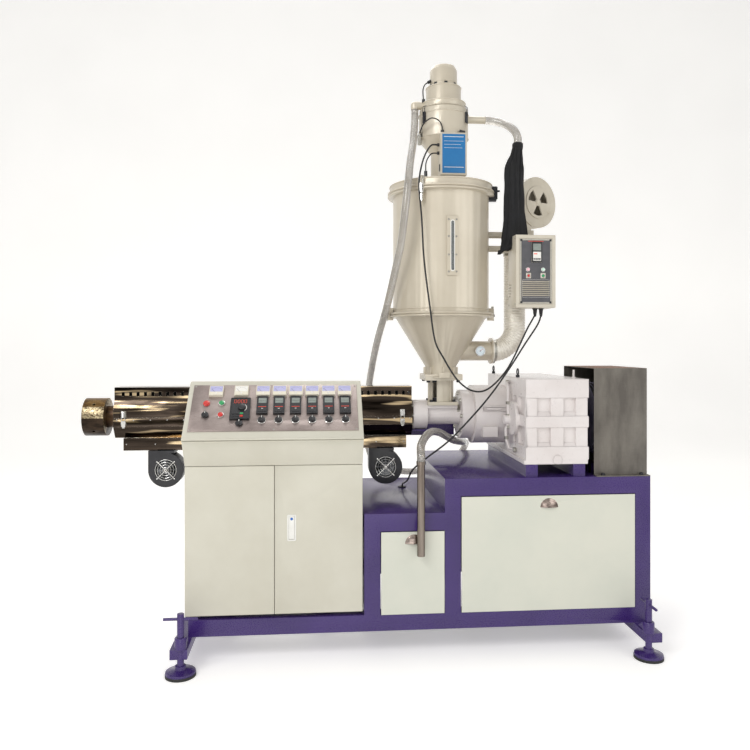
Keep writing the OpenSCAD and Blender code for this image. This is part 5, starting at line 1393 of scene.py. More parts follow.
class FilterBag:
    """Cloth bag that hangs from the exhaust hose."""

    OVALS = (
        (770, -98, 2316, 21.5, 21.5), (768, -100, 2296, 23, 22), (754, -106, 2258, 36, 22),
        (740, -118, 2204, 51, 21),
        (739, -124, 2130, 53, 21), (742, -128, 2040, 56, 21), (746, -130, 1960, 60, 20),
        (748, -130, 1900, 66, 19),
        (744, -130, 1868, 68, 17), (722, -128, 1840, 46, 14), (690, -126, 1802, 20, 9),
        (670, -124, 1772, 7, 4),
    )

    DROP = 600
    SIDES = 72
    # Lengths in metres that the neck and the hem hold, and the most that the cloth may move.
    NECK_M, HEM_M = 0.05, 0.04
    SWELL_M, MOVE_M = 0.014, 0.02
    FRAMES = 18
    CLOTH = {
        "quality": 6, "mass": 0.25, "tension_stiffness": 12, "compression_stiffness": 6,
        "bending_stiffness": 0.12, "shrink_min": -0.07, "vertex_group_mass": "held", "use_pressure": True,
        "uniform_pressure_force": 0.6,
    }

    def shell(self) -> bpy.types.Object:
        """Loft the bag with the gathers that hang from its neck."""
        bag = Solid("filter_bag_look", FILTER_CLOTH)
        middles = smooth_route([oval[:3] for oval in self.OVALS], 11)
        heights = [oval[2] for oval in self.OVALS]
        rings = []
        for middle in middles:
            i = max(k for k in range(len(heights) - 1) if heights[k] >= middle.z - 1e-3)
            part = (heights[i] - middle.z) / (heights[i] - heights[i + 1])
            wide, deep = (
                self.OVALS[i][k] + (self.OVALS[i + 1][k] - self.OVALS[i][k]) * part for k in (3, 4)
            )
            down = (heights[0] - middle.z) / self.DROP
            ring = []
            for turn in range(self.SIDES):
                angle = math.tau * turn / self.SIDES
                fold = math.sin(9 * angle + 2.4 * down) + 0.6 * math.sin(15 * angle - 3.1 * down)
                swell = 1 + 0.12 * min(1.0, 9 * down) * (1.25 - 0.5 * down) * fold
                soft = 3.0 * noise.noise((middle.x / 60 + math.cos(angle), math.sin(angle), middle.z / 45))
                ring.append((
                    middle.x + wide * swell * math.cos(angle) + soft,
                    middle.y + (deep * swell + soft * 0.5) * math.sin(angle),
                    middle.z,
                ))
            rings.append(ring)
        return bag.loft(rings, capped=False).done(angle=80)

    def settle(self, bag: bpy.types.Object) -> None:
        """Let the cloth hang by simulation, and keep what it gives.

        Args:
            bag: The lofted bag.
        """
        start = [v.co.copy() for v in bag.data.vertices]
        top, low = max(point.z for point in start), min(point.z for point in start)
        pins = bag.vertex_groups.new(name="held")
        for vertex in bag.data.vertices:
            near = max(0.0, 1 - (top - vertex.co.z) / self.NECK_M, 1 - (vertex.co.z - low) / self.HEM_M)
            pins.add([vertex.index], near, "ADD")
        work = bag.modifiers.new("cloth", "CLOTH")
        for key, value in self.CLOTH.items():
            setattr(work.settings, key, value)
        work.collision_settings.use_collision = False
        work.collision_settings.use_self_collision = False
        scene = bpy.context.scene
        for number in range(1, self.FRAMES + 1):
            scene.frame_set(number)
        settled = evaluated(bag).data
        for vertex, before, after in zip(bag.data.vertices, start, settled.vertices):
            move = after.co - before
            move.y = max(-self.SWELL_M, min(self.SWELL_M, move.y))
            vertex.co = before + move * min(1.0, self.MOVE_M / max(1e-9, move.length))
        bag.modifiers.remove(work)
        scene.frame_set(1)

    def build(self) -> None:
        """Make the bag and its neck band."""
        bag = self.shell()
        self.settle(bag)
        finer = bag.modifiers.new("finer", "SUBSURF")
        finer.levels = finer.render_levels = 1
        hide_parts("filter_bag")
        band = Solid("bag_neck_band", FILTER_CLOTH, place(self.OVALS[0][:3]))
        band.lathe(
            [(21, -34), (25, -32), (24.5, -28), (26, -24), (26, -6), (24, -2), (21, 0)], 40
        ).done(angle=60)


class Screen:
    """The sloping console with its instruments."""

    SLOPE = math.radians(44.114)

    # Places along the plate: two drive meters, then a column for each heating zone.
    ZONES = tuple(324 + 71 * k for k in range(6))
    METERS = (122, 230, *ZONES)
    WHITE_METER = 230
    # Heights above the cabinet's slope: the plate, the front of an instrument, the top of a knob.
    PLATE, FACE, KNOB_TOP = 3, 15, 18.3

    def at(self, u: float, v: float, h: float = 0.0) -> Matrix:
        """Give the frame on the plate at u along it and v up it, h above the cabinet's slope."""
        turn = Matrix.Rotation(self.SLOPE, 4, "X")
        return Matrix.Translation((-755, -500, 954)) @ turn @ Matrix.Translation((u, v, h))

    def spot(self, u: float, v: float, h: float) -> Facing:
        """Give a spot on the plate that faces out of it."""
        return spot_at(self.at(u, v, h))

    def marks(self, u: float, v: float, h: float, radius: float, angles: Iterable[float]) -> list[Facing]:
        """Give spots on an arc of a scale, at angles in degrees from the plate's upward way."""
        turns = [math.radians(a) for a in angles]
        return [self.spot(u + radius * math.sin(a), v + radius * math.cos(a), h) for a in turns]

    def meter(self, u: float) -> None:
        """Fit a moving iron meter: scale card, needle, cream cover and its screw."""
        card = WHITE_FILL if u == self.WHITE_METER else SCALE_CARD
        made = Solid(f"meter_{u}", CREAM_MOULDING, self.at(u, 254, self.FACE))
        made.frame_of(slab((-30, -28), (30, 28), 3), slab((-27, -9), (27, 25), 2), 0, 1.6)
        made.use(card).prism(slab((-27, -9), (27, 25)), 0.05, 0.5)
        made.use(CREAM_MOULDING).prism(slab((-29, -27), (29, -8), 2), 0, 2.6)
        made.use(WHITE_FILL).lathe([(4.4, 0), (4.2, 1.1), (3, 1.6)], 24, at=(0, -17, 2.6))
        made.use(BLACK_MOULDING).box((-0.8, -16, 2.65), (0.8, -18, 4.3))
        made.use(BLACK_MOULDING, self.at(u, 237, self.FACE) @ Matrix.Rotation(math.radians(38), 4, "Z"))
        made.box((-0.45, 9, 0.9), (0.45, 32, 1.3))
        made.done(bevel=0.5)

    def controller(self, u: float) -> None:
        """Fit a temperature controller: frame, two displays, a lit line and its keys."""
        made = Solid(f"controller_{u}", BLACK_MOULDING, self.at(u, 170, self.FACE))
        made.frame_of(slab((-24, -48), (24, 48), 3), slab((-20.5, -44), (20.5, 44), 2), 0, 2.2)
        made.box((-20, -43.5, 0.1), (20, 43.5, 0.7))
        made.use(DISPLAY_WINDOW).prism(slab((-17, 10), (17, 38), 2), 0.7, 1.1)
        made.use(BLACK_MOULDING).prism(slab((-14.5, 22), (14.5, 23)), 1.1, 1.25)
        made.use(LIT_RED).box((-17, -12, 0.7), (17, -10, 1.3))
        made.use(WHITE_FILL).box((-4, -22, 0.7), (4, -19.5, 1.1))
        for x in (-12.6, -4.2, 4.2, 12.6):
            made.use(BLACK_MOULDING).prism(slab((x - 3.2, -39), (x + 3.2, -31), 1.4), 0.7, 2.4)
        made.done(bevel=0.35)

    def keypad(self) -> None:
        """Fit the drive's keypad: lit digits, keys, and a round knob with a white crescent."""
        made = Solid("keypad", BLACK_MOULDING, self.at(231, 152, self.FACE))
        made.frame_of(slab((-42, -58.5), (42, 58.5), 5), slab((-38, -54.5), (38, 54.5), 3), 0, 2)
        made.box((-37.5, -54, 0.1), (37.5, 54, 0.8))
        made.use(SMOKED_WINDOW).prism(slab((-32, 24), (32, 50), 2), 0.8, 1.5)
        for x in (-21, -7, 7, 21):
            for low, high in (
                ((-4, 45), (4, 46.4)), ((-4, 27.6), (4, 29)), ((-5.2, 29.4), (-3.8, 44.6)),
                ((3.8, 29.4), (5.2, 44.6)),
            ):
                made.use(LIT_RED).box((x + low[0], low[1], 1.5), (x + high[0], high[1], 1.8))
        for y, last in ((-30, GREEN_CAP), (-44, RED_CAP)):
            for x, finish in ((-26, BLACK_MOULDING), (-9, BLACK_MOULDING), (8, last)):
                made.use(finish).prism(slab((x - 6.5, y - 4.5), (x + 6.5, y + 4.5), 1.6), 0.8, 2.8)
        made.use(BLACK_MOULDING).lathe([(17, 0), (17, 4), (15.5, 9), (13, 10), (4, 10.4)], at=(8, 2, 0.8))
        made.use(WHITE_FILL)
        arc = [math.radians(a) for a in range(-60, 61, 10)]
        edges = [(a, 21) for a in arc] + [(a, 21 - 3.2 * math.cos(a)) for a in arc[-2:0:-1]]
        made.prism([(8 + r * math.cos(a), 2 + r * math.sin(a)) for a, r in edges], 0.8, 1.3)
        made.done(bevel=0.3)

    def pointer(self, node: str, u: float, v: float, long: float) -> None:
        """Lay the white line on a knob.

        Args:
            node: The knob's CAD node and body.
            u: Its place along the plate.
            v: Its place up the plate.
            long: Distance of the line's end from the middle.
        """
        line = Solid(node + "_line", WHITE_FILL, self.at(u, v, self.KNOB_TOP))
        line.box((-1.1, 2, -0.3), (1.1, long, 0.25)).done(node)

    def build(self) -> None:
        """Fit every instrument and the plate's screws."""
        for u in self.METERS:
            self.meter(u)
        for u in self.ZONES:
            self.controller(u)
        self.keypad()
        ticks = [spot for u in self.METERS for spot in self.marks(u, 237, 15.5, 33, range(-40, 41, 10))]
        Bars("meter_scale_marks", BLACK_MOULDING, {"Width": 0.9, "Depth": 3.6, "Height": 0.15}).on(ticks)
        bezel = [(18.5, 0), (18.5, 1.6), (17, 2.6), (15.6, 2.6), (15.6, 0)]
        for k, u in enumerate(self.ZONES, 1):
            Solid(f"switch_ring_{k}", CHROME, self.at(u, 94, self.PLATE)).lathe(bezel, 40, True).done()
            self.pointer(f"zone_switch_{k}", u, 94, 14)
        self.pointer("mode_switch", 86, 122, 14)
        self.pointer("speed_knob", 231, 75, 13)
        Bars("speed_scale_marks", WHITE_FILL, {"Width": 1.0, "Depth": 1.0, "Height": 0.2}).on(
            self.marks(231, 75, self.PLATE, 23, range(-135, 136, 27))
        )
        corners = [self.spot(u, v, self.PLATE) for u in (30, 377, 725) for v in (44, 288)]
        screws("console_screws", corners, 4.2, 1.8)


def zone(finish: Finish, x: Span, y: Span, z: Span) -> Area:
    """Give an area from its spans along X, Y and Z."""
    return Area(finish, (x[0], y[0], z[0]), (x[1], y[1], z[1]))


def gearbox_pockets() -> list[Box]:
    """Give the pockets between the bands and pillars of the gearbox casting."""
    rows = ((889, 974), (1024, 1105))
    pockets = []
    for low, high in rows:
        pockets.append(((722, -403, low), (1005, -396, high)))
        pockets += [((x[0], -402, low + 1), (x[1], -384, high - 1)) for x in ((773, 834), (893, 948))]
        pockets += [((717, y[0], low), (734, y[1], high)) for y in ((-364, -276), (-246, -200))]
    return pockets


def dress_all(frame: dict) -> None:
    """Give every CAD node that no cord or cloth replaces its finish.

    Args:
        frame: The loaded frame.
    """
    wide = (-FAR, FAR)
    lamps = (zone(RED_LENS, (-690, -648), wide, wide), zone(CHROME, (-622, -588), wide, (-FAR, 1109)))
    glands = [
        zone(BLACK_MOULDING, *spans)
        for spans in (
            ((370, 385.9), (-120, -90), (2240, 2310)), ((303, 330), (-60, -20), (2360, 2384)),
            ((386, 408), (-142, -118), (2346.1, 2362)), ((345, 372), (-36, -4), (2608, 2638)),
            ((310, 338), (-36, -6), (2523.7, 2542)), ((340, 510), (-80, 80), (2609, 2620)),
        )
    ]
    # Node, finish, width of rounded edges, and areas with a finish of their own.
    looks = (
        ("base_frame", ENAMEL, 2.5),
        ("cabinet_shell", CABINET_COAT, 3),
        ("cabinet_door_left", CABINET_COAT, 2.5),
        ("cabinet_door_right", CABINET_COAT, 2.5),
        ("door_handle", LOCK_MOULDING, 1.2),
        ("access_panel_large", PANEL_COAT, 0, zone(PULL_CHROME, (776, 860), (-FAR, -423.4), (620, 672))),
        ("access_panel_small", PANEL_COAT, 0, zone(PULL_CHROME, (179, 263), (-FAR, -423.4), (474, 526))),
        ("console_plate", BRUSHED_PLATE, 0.6),
        ("panel_instruments", BLACK_MOULDING, 0.8, zone(CREAM_MOULDING, wide, wide, (1114.5, FAR)), *lamps),
        ("feed_section", WHITE_ENAMEL, 2,
            zone(ZINC, (487, 497.9), wide, wide), zone(ZINC, (260, 266.9), wide, wide),
        ),
        ("thrust_housing", WHITE_ENAMEL, 3),
        ("gearbox_housing", WHITE_ENAMEL, 4, zone(BLACK_OXIDE, (700, 790), (-240, 300), (1188.4, FAR))),
        ("barrel_tube", HOT_STEEL, 1),
        ("heater_bands", CAST_ALUMINIUM, 1),
        ("lower_cover", POLISHED_SHEET, 0, zone(CHROME, wide, (-100, -86.05), (940, 1001))),
        ("upper_cover", POLISHED_SHEET, 0,
            zone(CHROME, wide, (-100, -86.05), (1001, 1034)),
            zone(BLACK_MOULDING, (234, 252), (-90, -62.4), (1100, 1124)),
        ),
        ("fan_housings", STOVE_BLACK, 1.5, zone(CHROME, wide, (-110, -92.1), (680, 840))),
        # The nut's finishes go by height: painted light on top, a painted highlight in the middle band,
        # painted shade below.
        ("head_nut", NUT_PAINTED_LIT, 2,
            zone(NUT_PAINTED_HIGHLIGHT, wide, wide, (-FAR, 1052)), zone(NUT_PAINTED_SHADE, wide, wide, (-FAR, 1001)),
        ),
        ("hopper_throat", CREAM_ENAMEL, 1.5,
            zone(BLACK_OXIDE, wide, wide, (1064.1, 1075)), zone(BLACK_OXIDE, wide, wide, (1158.5, 1168.9)),
        ),
        ("hopper_cone", SATIN_STAINLESS, 1.5),
        ("hopper_cylinder", SATIN_STAINLESS, 1.5),
        ("hopper_lid", SATIN_STAINLESS, 3, zone(BLACK_MOULDING, (300, 325), (-175, -145), (2114.7, 2160))),
        ("hopper_fittings", SATIN_STAINLESS, 1,
            zone(GRANULATE, (418.5, 430.7), (-238.9, -235), (1684, 1911)),
            zone(BLACK_OXIDE, (600, 700), (-150, 60), (2020, 2125)),
        ),
        ("air_heater", CREAM_ENAMEL, 2),
        ("air_shutter", CREAM_ENAMEL, 0.8),
        ("dryer_box", BOX_ENAMEL, 4,
            zone(PINK_LENS, (782, 798), (-FAR, -200.1), (1686, 1702)),
            zone(MINT_LENS, (855, 871), (-FAR, -200.1), (1686, 1702)),
            zone(BLACK_MOULDING, (807, 857), (-FAR, -200.1), (1728, 1824)),
            zone(CABLE_SHEATH, wide, wide, (-FAR, 1514.9)),
        ),
        ("loader_body", SATIN_STAINLESS, 1.5,
            zone(CREAM_ENAMEL, (385.5, 513), (-143, -67), (2145, 2347)),
            zone(BLUE_PLATE, (385, 513), (-146, -142.05), (2145, 2347)),
            zone(BLACK_MOULDING, (470, 515), (-130, -80), (2346.1, 2370)), *glands,
        ),
        ("suction_wand", DRAWN_TUBE, 0, zone(ZINC, wide, wide, (808, 832))),
        ("belt_guard", SCUFFED_PAINT, 1.5, zone(RUSTED_EDGE, wide, wide, (1235.5, FAR))),
        ("motor", MOTOR_ENAMEL, 2),
        ("drive_belts", BELT_RUBBER, 0),
        ("screw", GROUND_STEEL, 0),
        ("gearbox_pulley", TURNED_IRON, 1),
        ("motor_pulley", TURNED_IRON, 1),
        ("slide_gate", SATIN_STAINLESS, 0.8),
        ("start_button", GREEN_CAP, 1.5),
        ("stop_button", RED_CAP, 1.5),
        ("dryer_start_button", GREEN_CAP, 1.5),
        ("dryer_stop_button", RED_CAP, 1.5),
        ("speed_knob", BLACK_MOULDING, 1.2),
        ("mode_switch", BLACK_MOULDING, 1.2),
        *((f"zone_switch_{k}", BLACK_MOULDING, 1.2) for k in range(1, 7)),
        *((f"fan_wheel_{k}", PRESSED_BLADE, 0) for k in range(1, 4)),
        *((f"foot_{k}", ENAMEL, 1.5, zone(BELT_RUBBER, wide, wide, (-1, 11.9))) for k in range(1, 5)),
    )
    dressing = Dressing(frame)
    for node, finish, bevel, *areas in looks:
        pockets = gearbox_pockets() if node == "gearbox_housing" else ()
        angle = FLAT_PANEL if node.startswith("access_panel") else SHARP
        dressing.dress(node, finish, areas, bevel, angle, pockets)


def bead(radius: float, wire: float, height: float, turns: int = 8) -> list[Span]:
    """Give the closed profile of a rolled bead.

    Args:
        radius: Radius of the bead's middle.
        wire: Radius of its section.
        height: Height of its middle.
        turns: Number of points.

    Returns:
        The profile for a looped lathe.
    """
    return [(radius + x, height + y) for x, y in circle(wire, turns)]


class Base:
    """Jack sleeves, gussets, the cable grommet and the small pieces of the cabinet."""

    def jacks(self) -> None:
        """Weld a sleeve with two gussets round every jack screw."""
        foot = 108
        for k, (x, y) in enumerate(((-749, -532), (-749, 532), (1218, -532), (1218, 532)), 1):
            sleeve = Solid(f"jack_sleeve_{k}", ENAMEL, place((x, y, foot)))
            sleeve.lathe([(14.6, 0), (24, 0), (24, 44), (22, 48), (14.6, 48)], 32, True)
            inward = -1 if y > 0 else 1
            for side in (-11, 5):
                where = across((x + side, y + inward * 22, foot), inward)
                sleeve.use(ENAMEL, where).prism([(0, 0), (52, 0), (52, 8), (0, 42)], 0, 6)
            sleeve.done(bevel=1)

    def cabinet(self) -> None:
        """Add the console's lip, the lock's plate and dot, and the grommet."""
        lip = Solid("console_lip", CABINET_COAT)
        for low, high, reach in ((947, 954, 3), (938, 943, 1.5)):
            lip.use(CABINET_COAT, place((-755, -500 + (954 - low) * 0.4, (low + high) / 2), (1, 0, 0), 90))
            lip.prism(slab((-reach - 3, -(high - low) / 2), (reach, (high - low) / 2), 1.4), 2, 753)
        lip.done(bevel=0.8)
        skin = Matrix.Translation((-305, -420, 561)) @ STANDING
        plate = Solid("lock_plate", LOCK_MOULDING, skin)
        plate.frame_of(slab((-19, -56), (19, 56), 5), slab((-12.4, -50.4), (12.4, 50.4), 2), 0, 1.6)
        plate.done("cabinet_door_right", 0.5)
        dot = Solid("lock_dot", BLUE_DOT, Matrix.Translation((-305, -422, 599)) @ STANDING)
        dot.lathe([(6, 0), (6, 0.5), (5, 0.9)], 28).done("door_handle")
        grommet = Solid("cable_grommet", CABLE_SHEATH, place((239, 156, 612)))
        grommet.lathe([(6, -2), (6, 4), (9, 6), (20, 4), (21, 0.5), (16, 0), (15.4, -2)], 32, True).done()

    def build(self) -> None:
        """Add everything of the base."""
        self.jacks()
        self.cabinet()


class Barrel:
    """Latches, rivets and a dark sheet of painted shade between the covers, and guards and hubs of the
    fans.
    """

    LATCHES_X = (-1089, -439, 211)
    FANS_X = (-897, -431, 130)

    def latches(self) -> None:
        """Close the covers with toggle latches of bent wire and a pressed lever."""
        for k, x in enumerate(self.LATCHES_X, 1):
            latch = Solid(f"cover_latch_{k}", CHROME)
            half = ((-8, -91, 978), (-8, -94, 1000), (-8, -93, 1022), (-4, -92, 1027))
            bail = [(x + off, y, z) for off, y, z in half]
            bail += [(x - off, y, z) for off, y, z in half[::-1]]
            latch.tube([Vector(p) for p in bail], 1.5, 8)
            lever = Matrix.Translation((x, -92, 976)) @ Matrix.Rotation(math.pi / 2 + 0.06, 4, "X")
            latch.use(CHROME, lever).prism(slab((-9, -16), (9, 12), 4), 1.5, 3.2)
            latch.box((-10.5, -3, -4), (-9, 8, 3.2)).box((9, -3, -4), (10.5, 8, 3.2))
            latch.done(bevel=0.4)

    def build(self) -> None:
        """Add the pieces of barrel and fans."""
        self.latches()
        free = [x for x in range(-1120, 250, 76) if all(abs(x - latch) > 20 for latch in self.LATCHES_X)]
        row = [((x, -86, 990), FRONT) for x in free]
        screws("cover_rivets", row, 3.2, 1.3, CHROME)
        ends = [((-1137, y, z), LEFT) for y, z in ((-70, 975), (70, 975), (-40, 925), (40, 925))]
        screws("cover_end_screws", ends, 3.6, 1.6, CHROME)
        # A thin near black sheet along the covers' middle stands for the shade in the gap: painted shade.
        gap_shade = Solid("cover_gap_painted_shade", PAINTED_SHADE_RECESS).box((-1125, -3, 1078), (247, 3, 1139))
        gap_shade.done("upper_cover")
        vents = [((x + off, -74, 877), FRONT) for x in (-948, -431, 86) for off in (-132, 0, 132)]
        screws("duct_screws", vents, 3.4, 1.5, CHROME)
        for radius in (13, 25, 37):
            spots = [((x, -95.4, 758), FRONT) for x in self.FANS_X]
            Rings(f"fan_guard_ring_{radius}", CHROME, {"Radius": radius, "Wire": 1.3}).on(spots)
        caps = [((x, -96.5, 758), FRONT) for x in self.FANS_X]
        screws("fan_guard_hubs", caps, 9, 3, CHROME)
        for k, x in enumerate(self.FANS_X, 1):
            hub = Solid(f"fan_hub_{k}", PRESSED_BLADE, place((x, -87, 758), (0, 1, 0)))
            hub.lathe([(9, 0), (15, 3), (15, 9), (5.5, 9)], 28).done(f"fan_wheel_{k}", 0.5)


class Drive:
    """Floors of the gearbox pockets, pipe fittings, a seat on the thrust housing and guard bolts."""

    def build(self) -> None:
        """Add the pieces of gearbox, thrust housing and guard."""
        floors = Solid("gearbox_pocket_floors", WHITE_ENAMEL)
        for x in (773, 893):
            for z in (887, 1023):
                floors.use(WHITE_ENAMEL, across((x, 0, z))).prism(
                    [(-398, -2), (-383, -2), (-383, 22)], 0, 61
                )
        floors.done(bevel=1.5)
        fittings = Solid("oil_pipe_fittings", ZINC)
        for at, way in (
            ((699, -186, 1009), UP), ((699, -186, 1068), UP), ((699, -186, 955), UP),
            ((690, -188, 905), UP), ((712, -124, 1161), (1, 0, 0)), ((712, -250, 856), (1, 0, 0)),
        ):
            fittings.use(ZINC, place(at, way)).lathe([(10.5, -7), (11.5, -6), (11.5, 6), (10.5, 7)], 6)
        fittings.done(bevel=0.6)
        plate = Solid("thrust_plate_screws_seat", WHITE_ENAMEL, place((641, -148.6, 1036.5), FRONT))
        plate.prism(slab((-36, -5.5), (36, 5.5), 2), 0, 1.2).done(bevel=0.4)
        caps = [((x, y, 762), UP) for y in (-407, 17) for x in (1068, 1244)]
        screws("guard_bolts", caps, 9, 9, BLACK_OXIDE, socket=True)


class Hopper:
    """Duct, beads, clamps, sight glass and thermometer of the hopper dryer."""

    AXIS_X = 411
    FOOT: Point = (663, 0, 1310.6)
    BEND = 113
    CREASE_MM = 12.6
    SIGHT_TURN, SIGHT_Z = 3.3, 1797.6
    RIM_RADIUS = 262

    def skin(self, turn: float, radius: float, z: float) -> Matrix:
        """Give a frame on the hopper's skin with X across, Y up and Z outward."""
        return on_skin(self.AXIS_X, turn, radius, z)

    def duct(self) -> None:
        """Wind the crinkled duct through its bend, with a clamp band at its foot."""
        path = [Vector(self.FOOT)]
        for i in range(61):
            a = math.pi / 2 * i / 60
            path.append(Vector((669 + self.BEND * math.sin(a), 0, 1423.6 - self.BEND * math.cos(a))))
        path += [Vector((782, 0, 1423.6 + 376.4 * i / 125)) for i in range(1, 126)]
        rings, length = [], 0.0
        for i, frame in enumerate(turned_frames(path)):
            length += (path[i] - path[i - 1]).length if i else 0.0
            ring = []
            for x, y in circle(1, 56):
                turn = math.atan2(y, x) / math.tau
                wave = 0.5 - 0.5 * math.cos(math.tau * (length / self.CREASE_MM + turn))
                crease = noise.noise(
                    (x * 3.1, y * 3.1, length / 9)
                ) + 0.6 * noise.noise((x * 7, y * 7, length / 4))
                size = 49.2 + 4.2 * wave**0.7 + 0.9 * crease
                ring.append(frame @ Vector((size * x, size * y, 0)))
            rings.append(ring)
        duct = Solid("air_duct_look", CRINKLED_FILM).loft(rings)
        duct.use(CRINKLED_FILM, place(self.FOOT, (1, 0, 0)))
        duct.lathe([(50, 0), (63.5, 0), (63.5, 5.5), (50, 5.5)], 56, True)
        duct.done(replaces=("air_duct",), angle=75)
        for name, at, way in (
            ("duct_clamp_low", (676, 0, 1310.6), (1, 0, 0)), ("duct_clamp_top", (782, 0, 1786), (0, 0, 1))
        ):
            band = Solid(name, ZINC, place(at, way)).lathe(
                [(53.6, -6), (55, -6), (55, 6), (53.6, 6)], 56, True
            )
            band.box((53, -7, -5), (62, 7, 5), 1.5)
            band.use(ZINC, place(at, way) @ Matrix.Translation((58, 0, 0)) @ STANDING)
            band.lathe([(3.6, -15), (4, -14), (4, 12)], 6).done(bevel=0.4)

    def beads(self) -> None:
        """Roll the beads of the joint, the rim and the lid."""
        rolled = Solid("hopper_beads", SATIN_STAINLESS, place((self.AXIS_X, 0, 0)))
        for radius, wire, height in (
            (250, 5, 1478.6), (250, 5, 1490.6), (256, 5.5, 2065.5), (256, 5.5, 2079), (249.5, 4, 2111),
            (234.2, 2.2, 1512),
        ):
            rolled.lathe(bead(radius, wire, height), 96, True)
        rolled.done(angle=80)

    def sight(self) -> None:
        """Fit the sight glass with its lip, pane and screws."""
        lip = Solid("sight_lip", WHITE_FILL, self.skin(self.SIGHT_TURN, 240, self.SIGHT_Z))
        lip.frame_of(slab((-11, -118.5), (11, 118.5), 10.5, 8), slab((-7, -114), (7, 114), 6.8, 8), 0, 1.8)
        lip.done(bevel=0.6)
        pane = Solid("sight_pane", GLASS, self.skin(self.SIGHT_TURN, 238, self.SIGHT_Z))
        pane.prism(slab((-7.4, -114.2), (7.4, 114.2), 6, 6), 0.1, 1.6).done()
        where = self.skin(self.SIGHT_TURN, 240, self.SIGHT_Z)
        outward = spot_at(where)[1]
        spots = [
            (tuple(where @ Vector((x, y, 0))), outward) for x in (-18, 18) for y in (-120, -42, 42, 120)
        ]
        screws("sight_screws", spots, 5, 2.2)

    def clamps(self) -> None:
        """Add the toggle at the lid and the hooks at the joint."""
        toggle = Solid("lid_toggle", CHROME, self.skin(-30, self.RIM_RADIUS, 2060))
        toggle.prism(slab((-9, -52), (9, 26), 5), 0.2, 2.4).prism(slab((-6, -60), (6, -30), 4), 2.4, 5)
        for x in (-11, 11):
            toggle.tube(
                [Vector((x, y, z)) for y, z in ((-20, 3), (10, 5), (44, 4), (58, -2), (60, -12))], 1.8, 8
            )
        toggle.lathe([(4, -13), (4, 13)], 16, at=(0, -20, 2))
        toggle.done(bevel=0.5)
        bolts = []
        for turn in (-90, 90, 150, 210):
            where = self.skin(turn, self.RIM_RADIUS, 1484.6)
            bolts.append(spot_at(where))
            hook = Solid(f"joint_hook_{turn % 360}", ZINC, where)
            hook.prism(
                slab((-11, -26), (11, 34), 4), 0.2, 3
            ).prism(slab((-5, 34), (5, 46), 2), -8, 3).done(bevel=0.6)
        screws("joint_hook_screws", bolts, 7, 8, BLACK_OXIDE, socket=True)
        clamp = Solid("rim_clamp_lever", BLACK_OXIDE, self.skin(80, 272, 2098))
        clamp.prism(slab((-8, -46), (8, 16), 4), -1, 5).lathe(
            [(5, -14), (5, 14)], 16, at=(0, -6, 2)
        ).done(bevel=0.8)

    def dial(self) -> None:
        """Fit the thermometer's bezel, face, marks and needle."""
        face = Matrix.Translation((592, -76, 1310.6)) @ STANDING
        dial = Solid("thermometer", CHROME, face)
        dial.lathe([(26, -12), (26, 2), (24.5, 3.6), (22, 3.6), (21, 1.2), (21, -12)], 48, True)
        dial.use(DIAL_FACE).lathe([(21.2, 0.1), (21.2, 0.8)], 48)
        dial.use(
            RED_CAP, face @ Matrix.Rotation(math.radians(-52), 4, "Z")
        ).box((-0.6, -4, 1), (0.6, 16, 1.4))
        dial.use(BLACK_MOULDING, face).lathe([(2.6, 0.8), (2.2, 2.2)], 20).done(bevel=0.4)
        marks = []
        for i in range(19):
            a = math.radians(-135 + 15 * i)
            marks.append((tuple(face @ Vector((17.6 * math.sin(a), 17.6 * math.cos(a), 0.8))), FRONT))
        Bars("thermometer_marks", BLACK_MOULDING, {"Width": 1.0, "Depth": 2.2, "Height": 0.3}).on(marks)

    def build(self) -> None:
        """Add everything of the hopper dryer."""
        self.duct()
        self.beads()
        self.sight()
        self.clamps()
        self.dial()


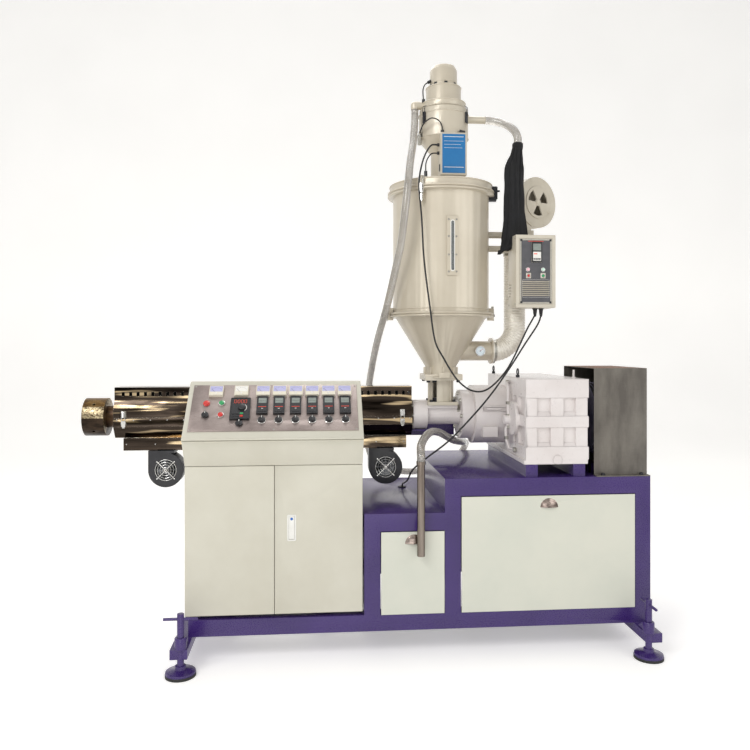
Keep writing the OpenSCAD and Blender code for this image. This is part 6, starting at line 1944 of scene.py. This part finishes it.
class DryerBox:
    """Door, overlay, controller front and rings of the dryer's control box."""

    FACE = Matrix.Translation((733, -200, 1515)) @ STANDING

    def build(self) -> None:
        """Fit the door's bezel, overlay, controller front, rings and screws."""
        door = Solid("dryer_door", ZINC, self.FACE)
        door.frame_of(slab((20, 20), (170, 322), 8), slab((24, 24), (166, 318), 6), -0.5, 1.6)
        door.use(GRID_CARD).frame_of(slab((26, 197), (164, 316)), slab((74, 213), (124, 309)), 0.05, 0.5)
        for low, high in (
            ((26, 26), (164, 55)), ((26, 55), (29, 125)), ((161, 55), (164, 125)), ((26, 125), (164, 138)),
            ((26, 138), (48, 163)), ((72, 138), (118, 163)), ((142, 138), (164, 163)),
            ((26, 163), (164, 197)),
        ):
            door.box((*low, 0.05), (*high, 0.5))
        for k in range(7):
            door.box((29, 60.8 + 9 * k, 0.05), (161, 64.7 + 9 * k, 0.5))
        door.use(BLACK_MOULDING)
        for x, y in ((20, 20), (160, 20), (20, 312), (160, 312)):
            door.box((x, y, -0.4), (x + 10, y + 10, 2), 2)
        door.use(LIT_RED).box((58, 311, 0.5), (132, 313, 0.8))
        door.use(WHITE_FILL).frame_of(
            slab((31, 48), (159, 132), 3), slab((31.8, 48.8), (158.2, 131.2), 2.4), 0.4, 0.6
        )
        door.done(bevel=0.3)
        front = Solid("dryer_controller", DISPLAY_WINDOW, self.FACE)
        front.prism(slab((80, 268), (118, 300), 2), 6, 7)
        front.use(WHITE_FILL).prism(slab((80, 220), (118, 262), 2), 6, 6.9)
        for x in (84, 93, 102, 111):
            front.use(BLACK_MOULDING).prism(slab((x - 2, 224), (x + 4, 232), 1.2), 6.9, 8)
        front.use(LIT_RED).box((84, 250, 6.9), (100, 254, 7.2)).done(bevel=0.3)
        rings = Solid("dryer_rings", CHROME, self.FACE)
        for x, y, r in ((60, 150, 7), (130, 150, 7), (57, 179, 7.4), (130, 179, 7.4)):
            rings.lathe([(r + 3, 0), (r + 3, 1.4), (r + 2, 2.2), (r, 2.2), (r, 0)], 32, True, (x, y, 0))
        rings.done(bevel=0.2)
        side = [((733, y, z), LEFT) for y in (-186, -80) for z in (1532, 1840)]
        screws("dryer_side_screws", side, 4.4, 2)


class Loader:
    """Beads, clamps, valve and blue plate of the vacuum loader."""

    AXIS_X = 425

    def build(self) -> None:
        """Add the pieces of the loader."""
        rolled = Solid("loader_beads", SATIN_STAINLESS, place((self.AXIS_X, 0, 0)))
        for radius, wire, height in (
            (121, 3, 2347), (121, 3, 2463), (107, 3.4, 2495), (107, 3.4, 2520), (86, 2.5, 2598),
            (66, 3, 2605), (66, 2.5, 2622),
        ):
            rolled.lathe(bead(radius, wire, height), 72, True)
        rolled.done(angle=80)
        lines = Solid("blue_plate_lines", WHITE_FILL, Matrix.Translation((386, -144, 2146)) @ STANDING)
        for y, end, tall in (
            (178, 110, 2.4), (158, 110, 1.2), (142, 96, 1.2), (126, 104, 1.2), (34, 110, 2.4)
        ):
            lines.box((16, y, 0), (end, y + tall, 0.5))
        lines.done()
        for k, turn in enumerate((-58, 52, 150, 215), 1):
            clamp = Solid(f"chamber_clamp_{k}", BLACK_OXIDE, on_skin(self.AXIS_X, turn, 121, 2452))
            clamp.prism(slab((-9, -36), (9, 14), 3), 0, 6).prism(slab((-6, -44), (6, -10), 3), 6, 10)
            for x in (-7, 7):
                clamp.tube([Vector((x, y, z)) for y, z in ((-8, 7), (20, 8), (38, 5), (44, -4))], 1.6, 8)
            clamp.done(bevel=0.6)
        valve = Solid("valve_cylinder", ZINC, place((301, -34, 2312)))
        valve.lathe([(9, 0), (10, 1), (10, 46), (9, 47)], 28).use(CHROME)
        valve.lathe([(6, 47), (6, 54), (4, 55)], 20).done(bevel=0.5)
        catch = Solid("loader_box_catch", BLACK_MOULDING)
        catch.box((382, -128, 2166), (386, -114, 2198), 1).done(bevel=0.8)


def report_size(bounds: list, when: str) -> None:
    """Log the size of what is shown."""
    low, high = bounds
    LOG.info("%s: %s", when, " x ".join(f"{b - a:.3f}" for a, b in zip(low, high)))


def main() -> None:
    """Build the scene piece by piece."""
    logging.basicConfig(level=logging.INFO, format="%(message)s")
    for left in list(bpy.data.objects):
        bpy.data.objects.remove(left)
    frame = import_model()
    before = [list(corner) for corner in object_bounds()]
    report_size(before, "packed")
    Studio().build()
    Cords().build()
    FilterBag().build()
    dress_all(frame)
    for part in (Screen(), Base(), Barrel(), Drive(), Hopper(), DryerBox(), Loader()):
        part.build()
        LOG.info("%s is finished", type(part).__name__)
    after = [list(corner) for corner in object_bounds()]
    report_size(after, "shown")


if __name__ == "__main__":
    main()
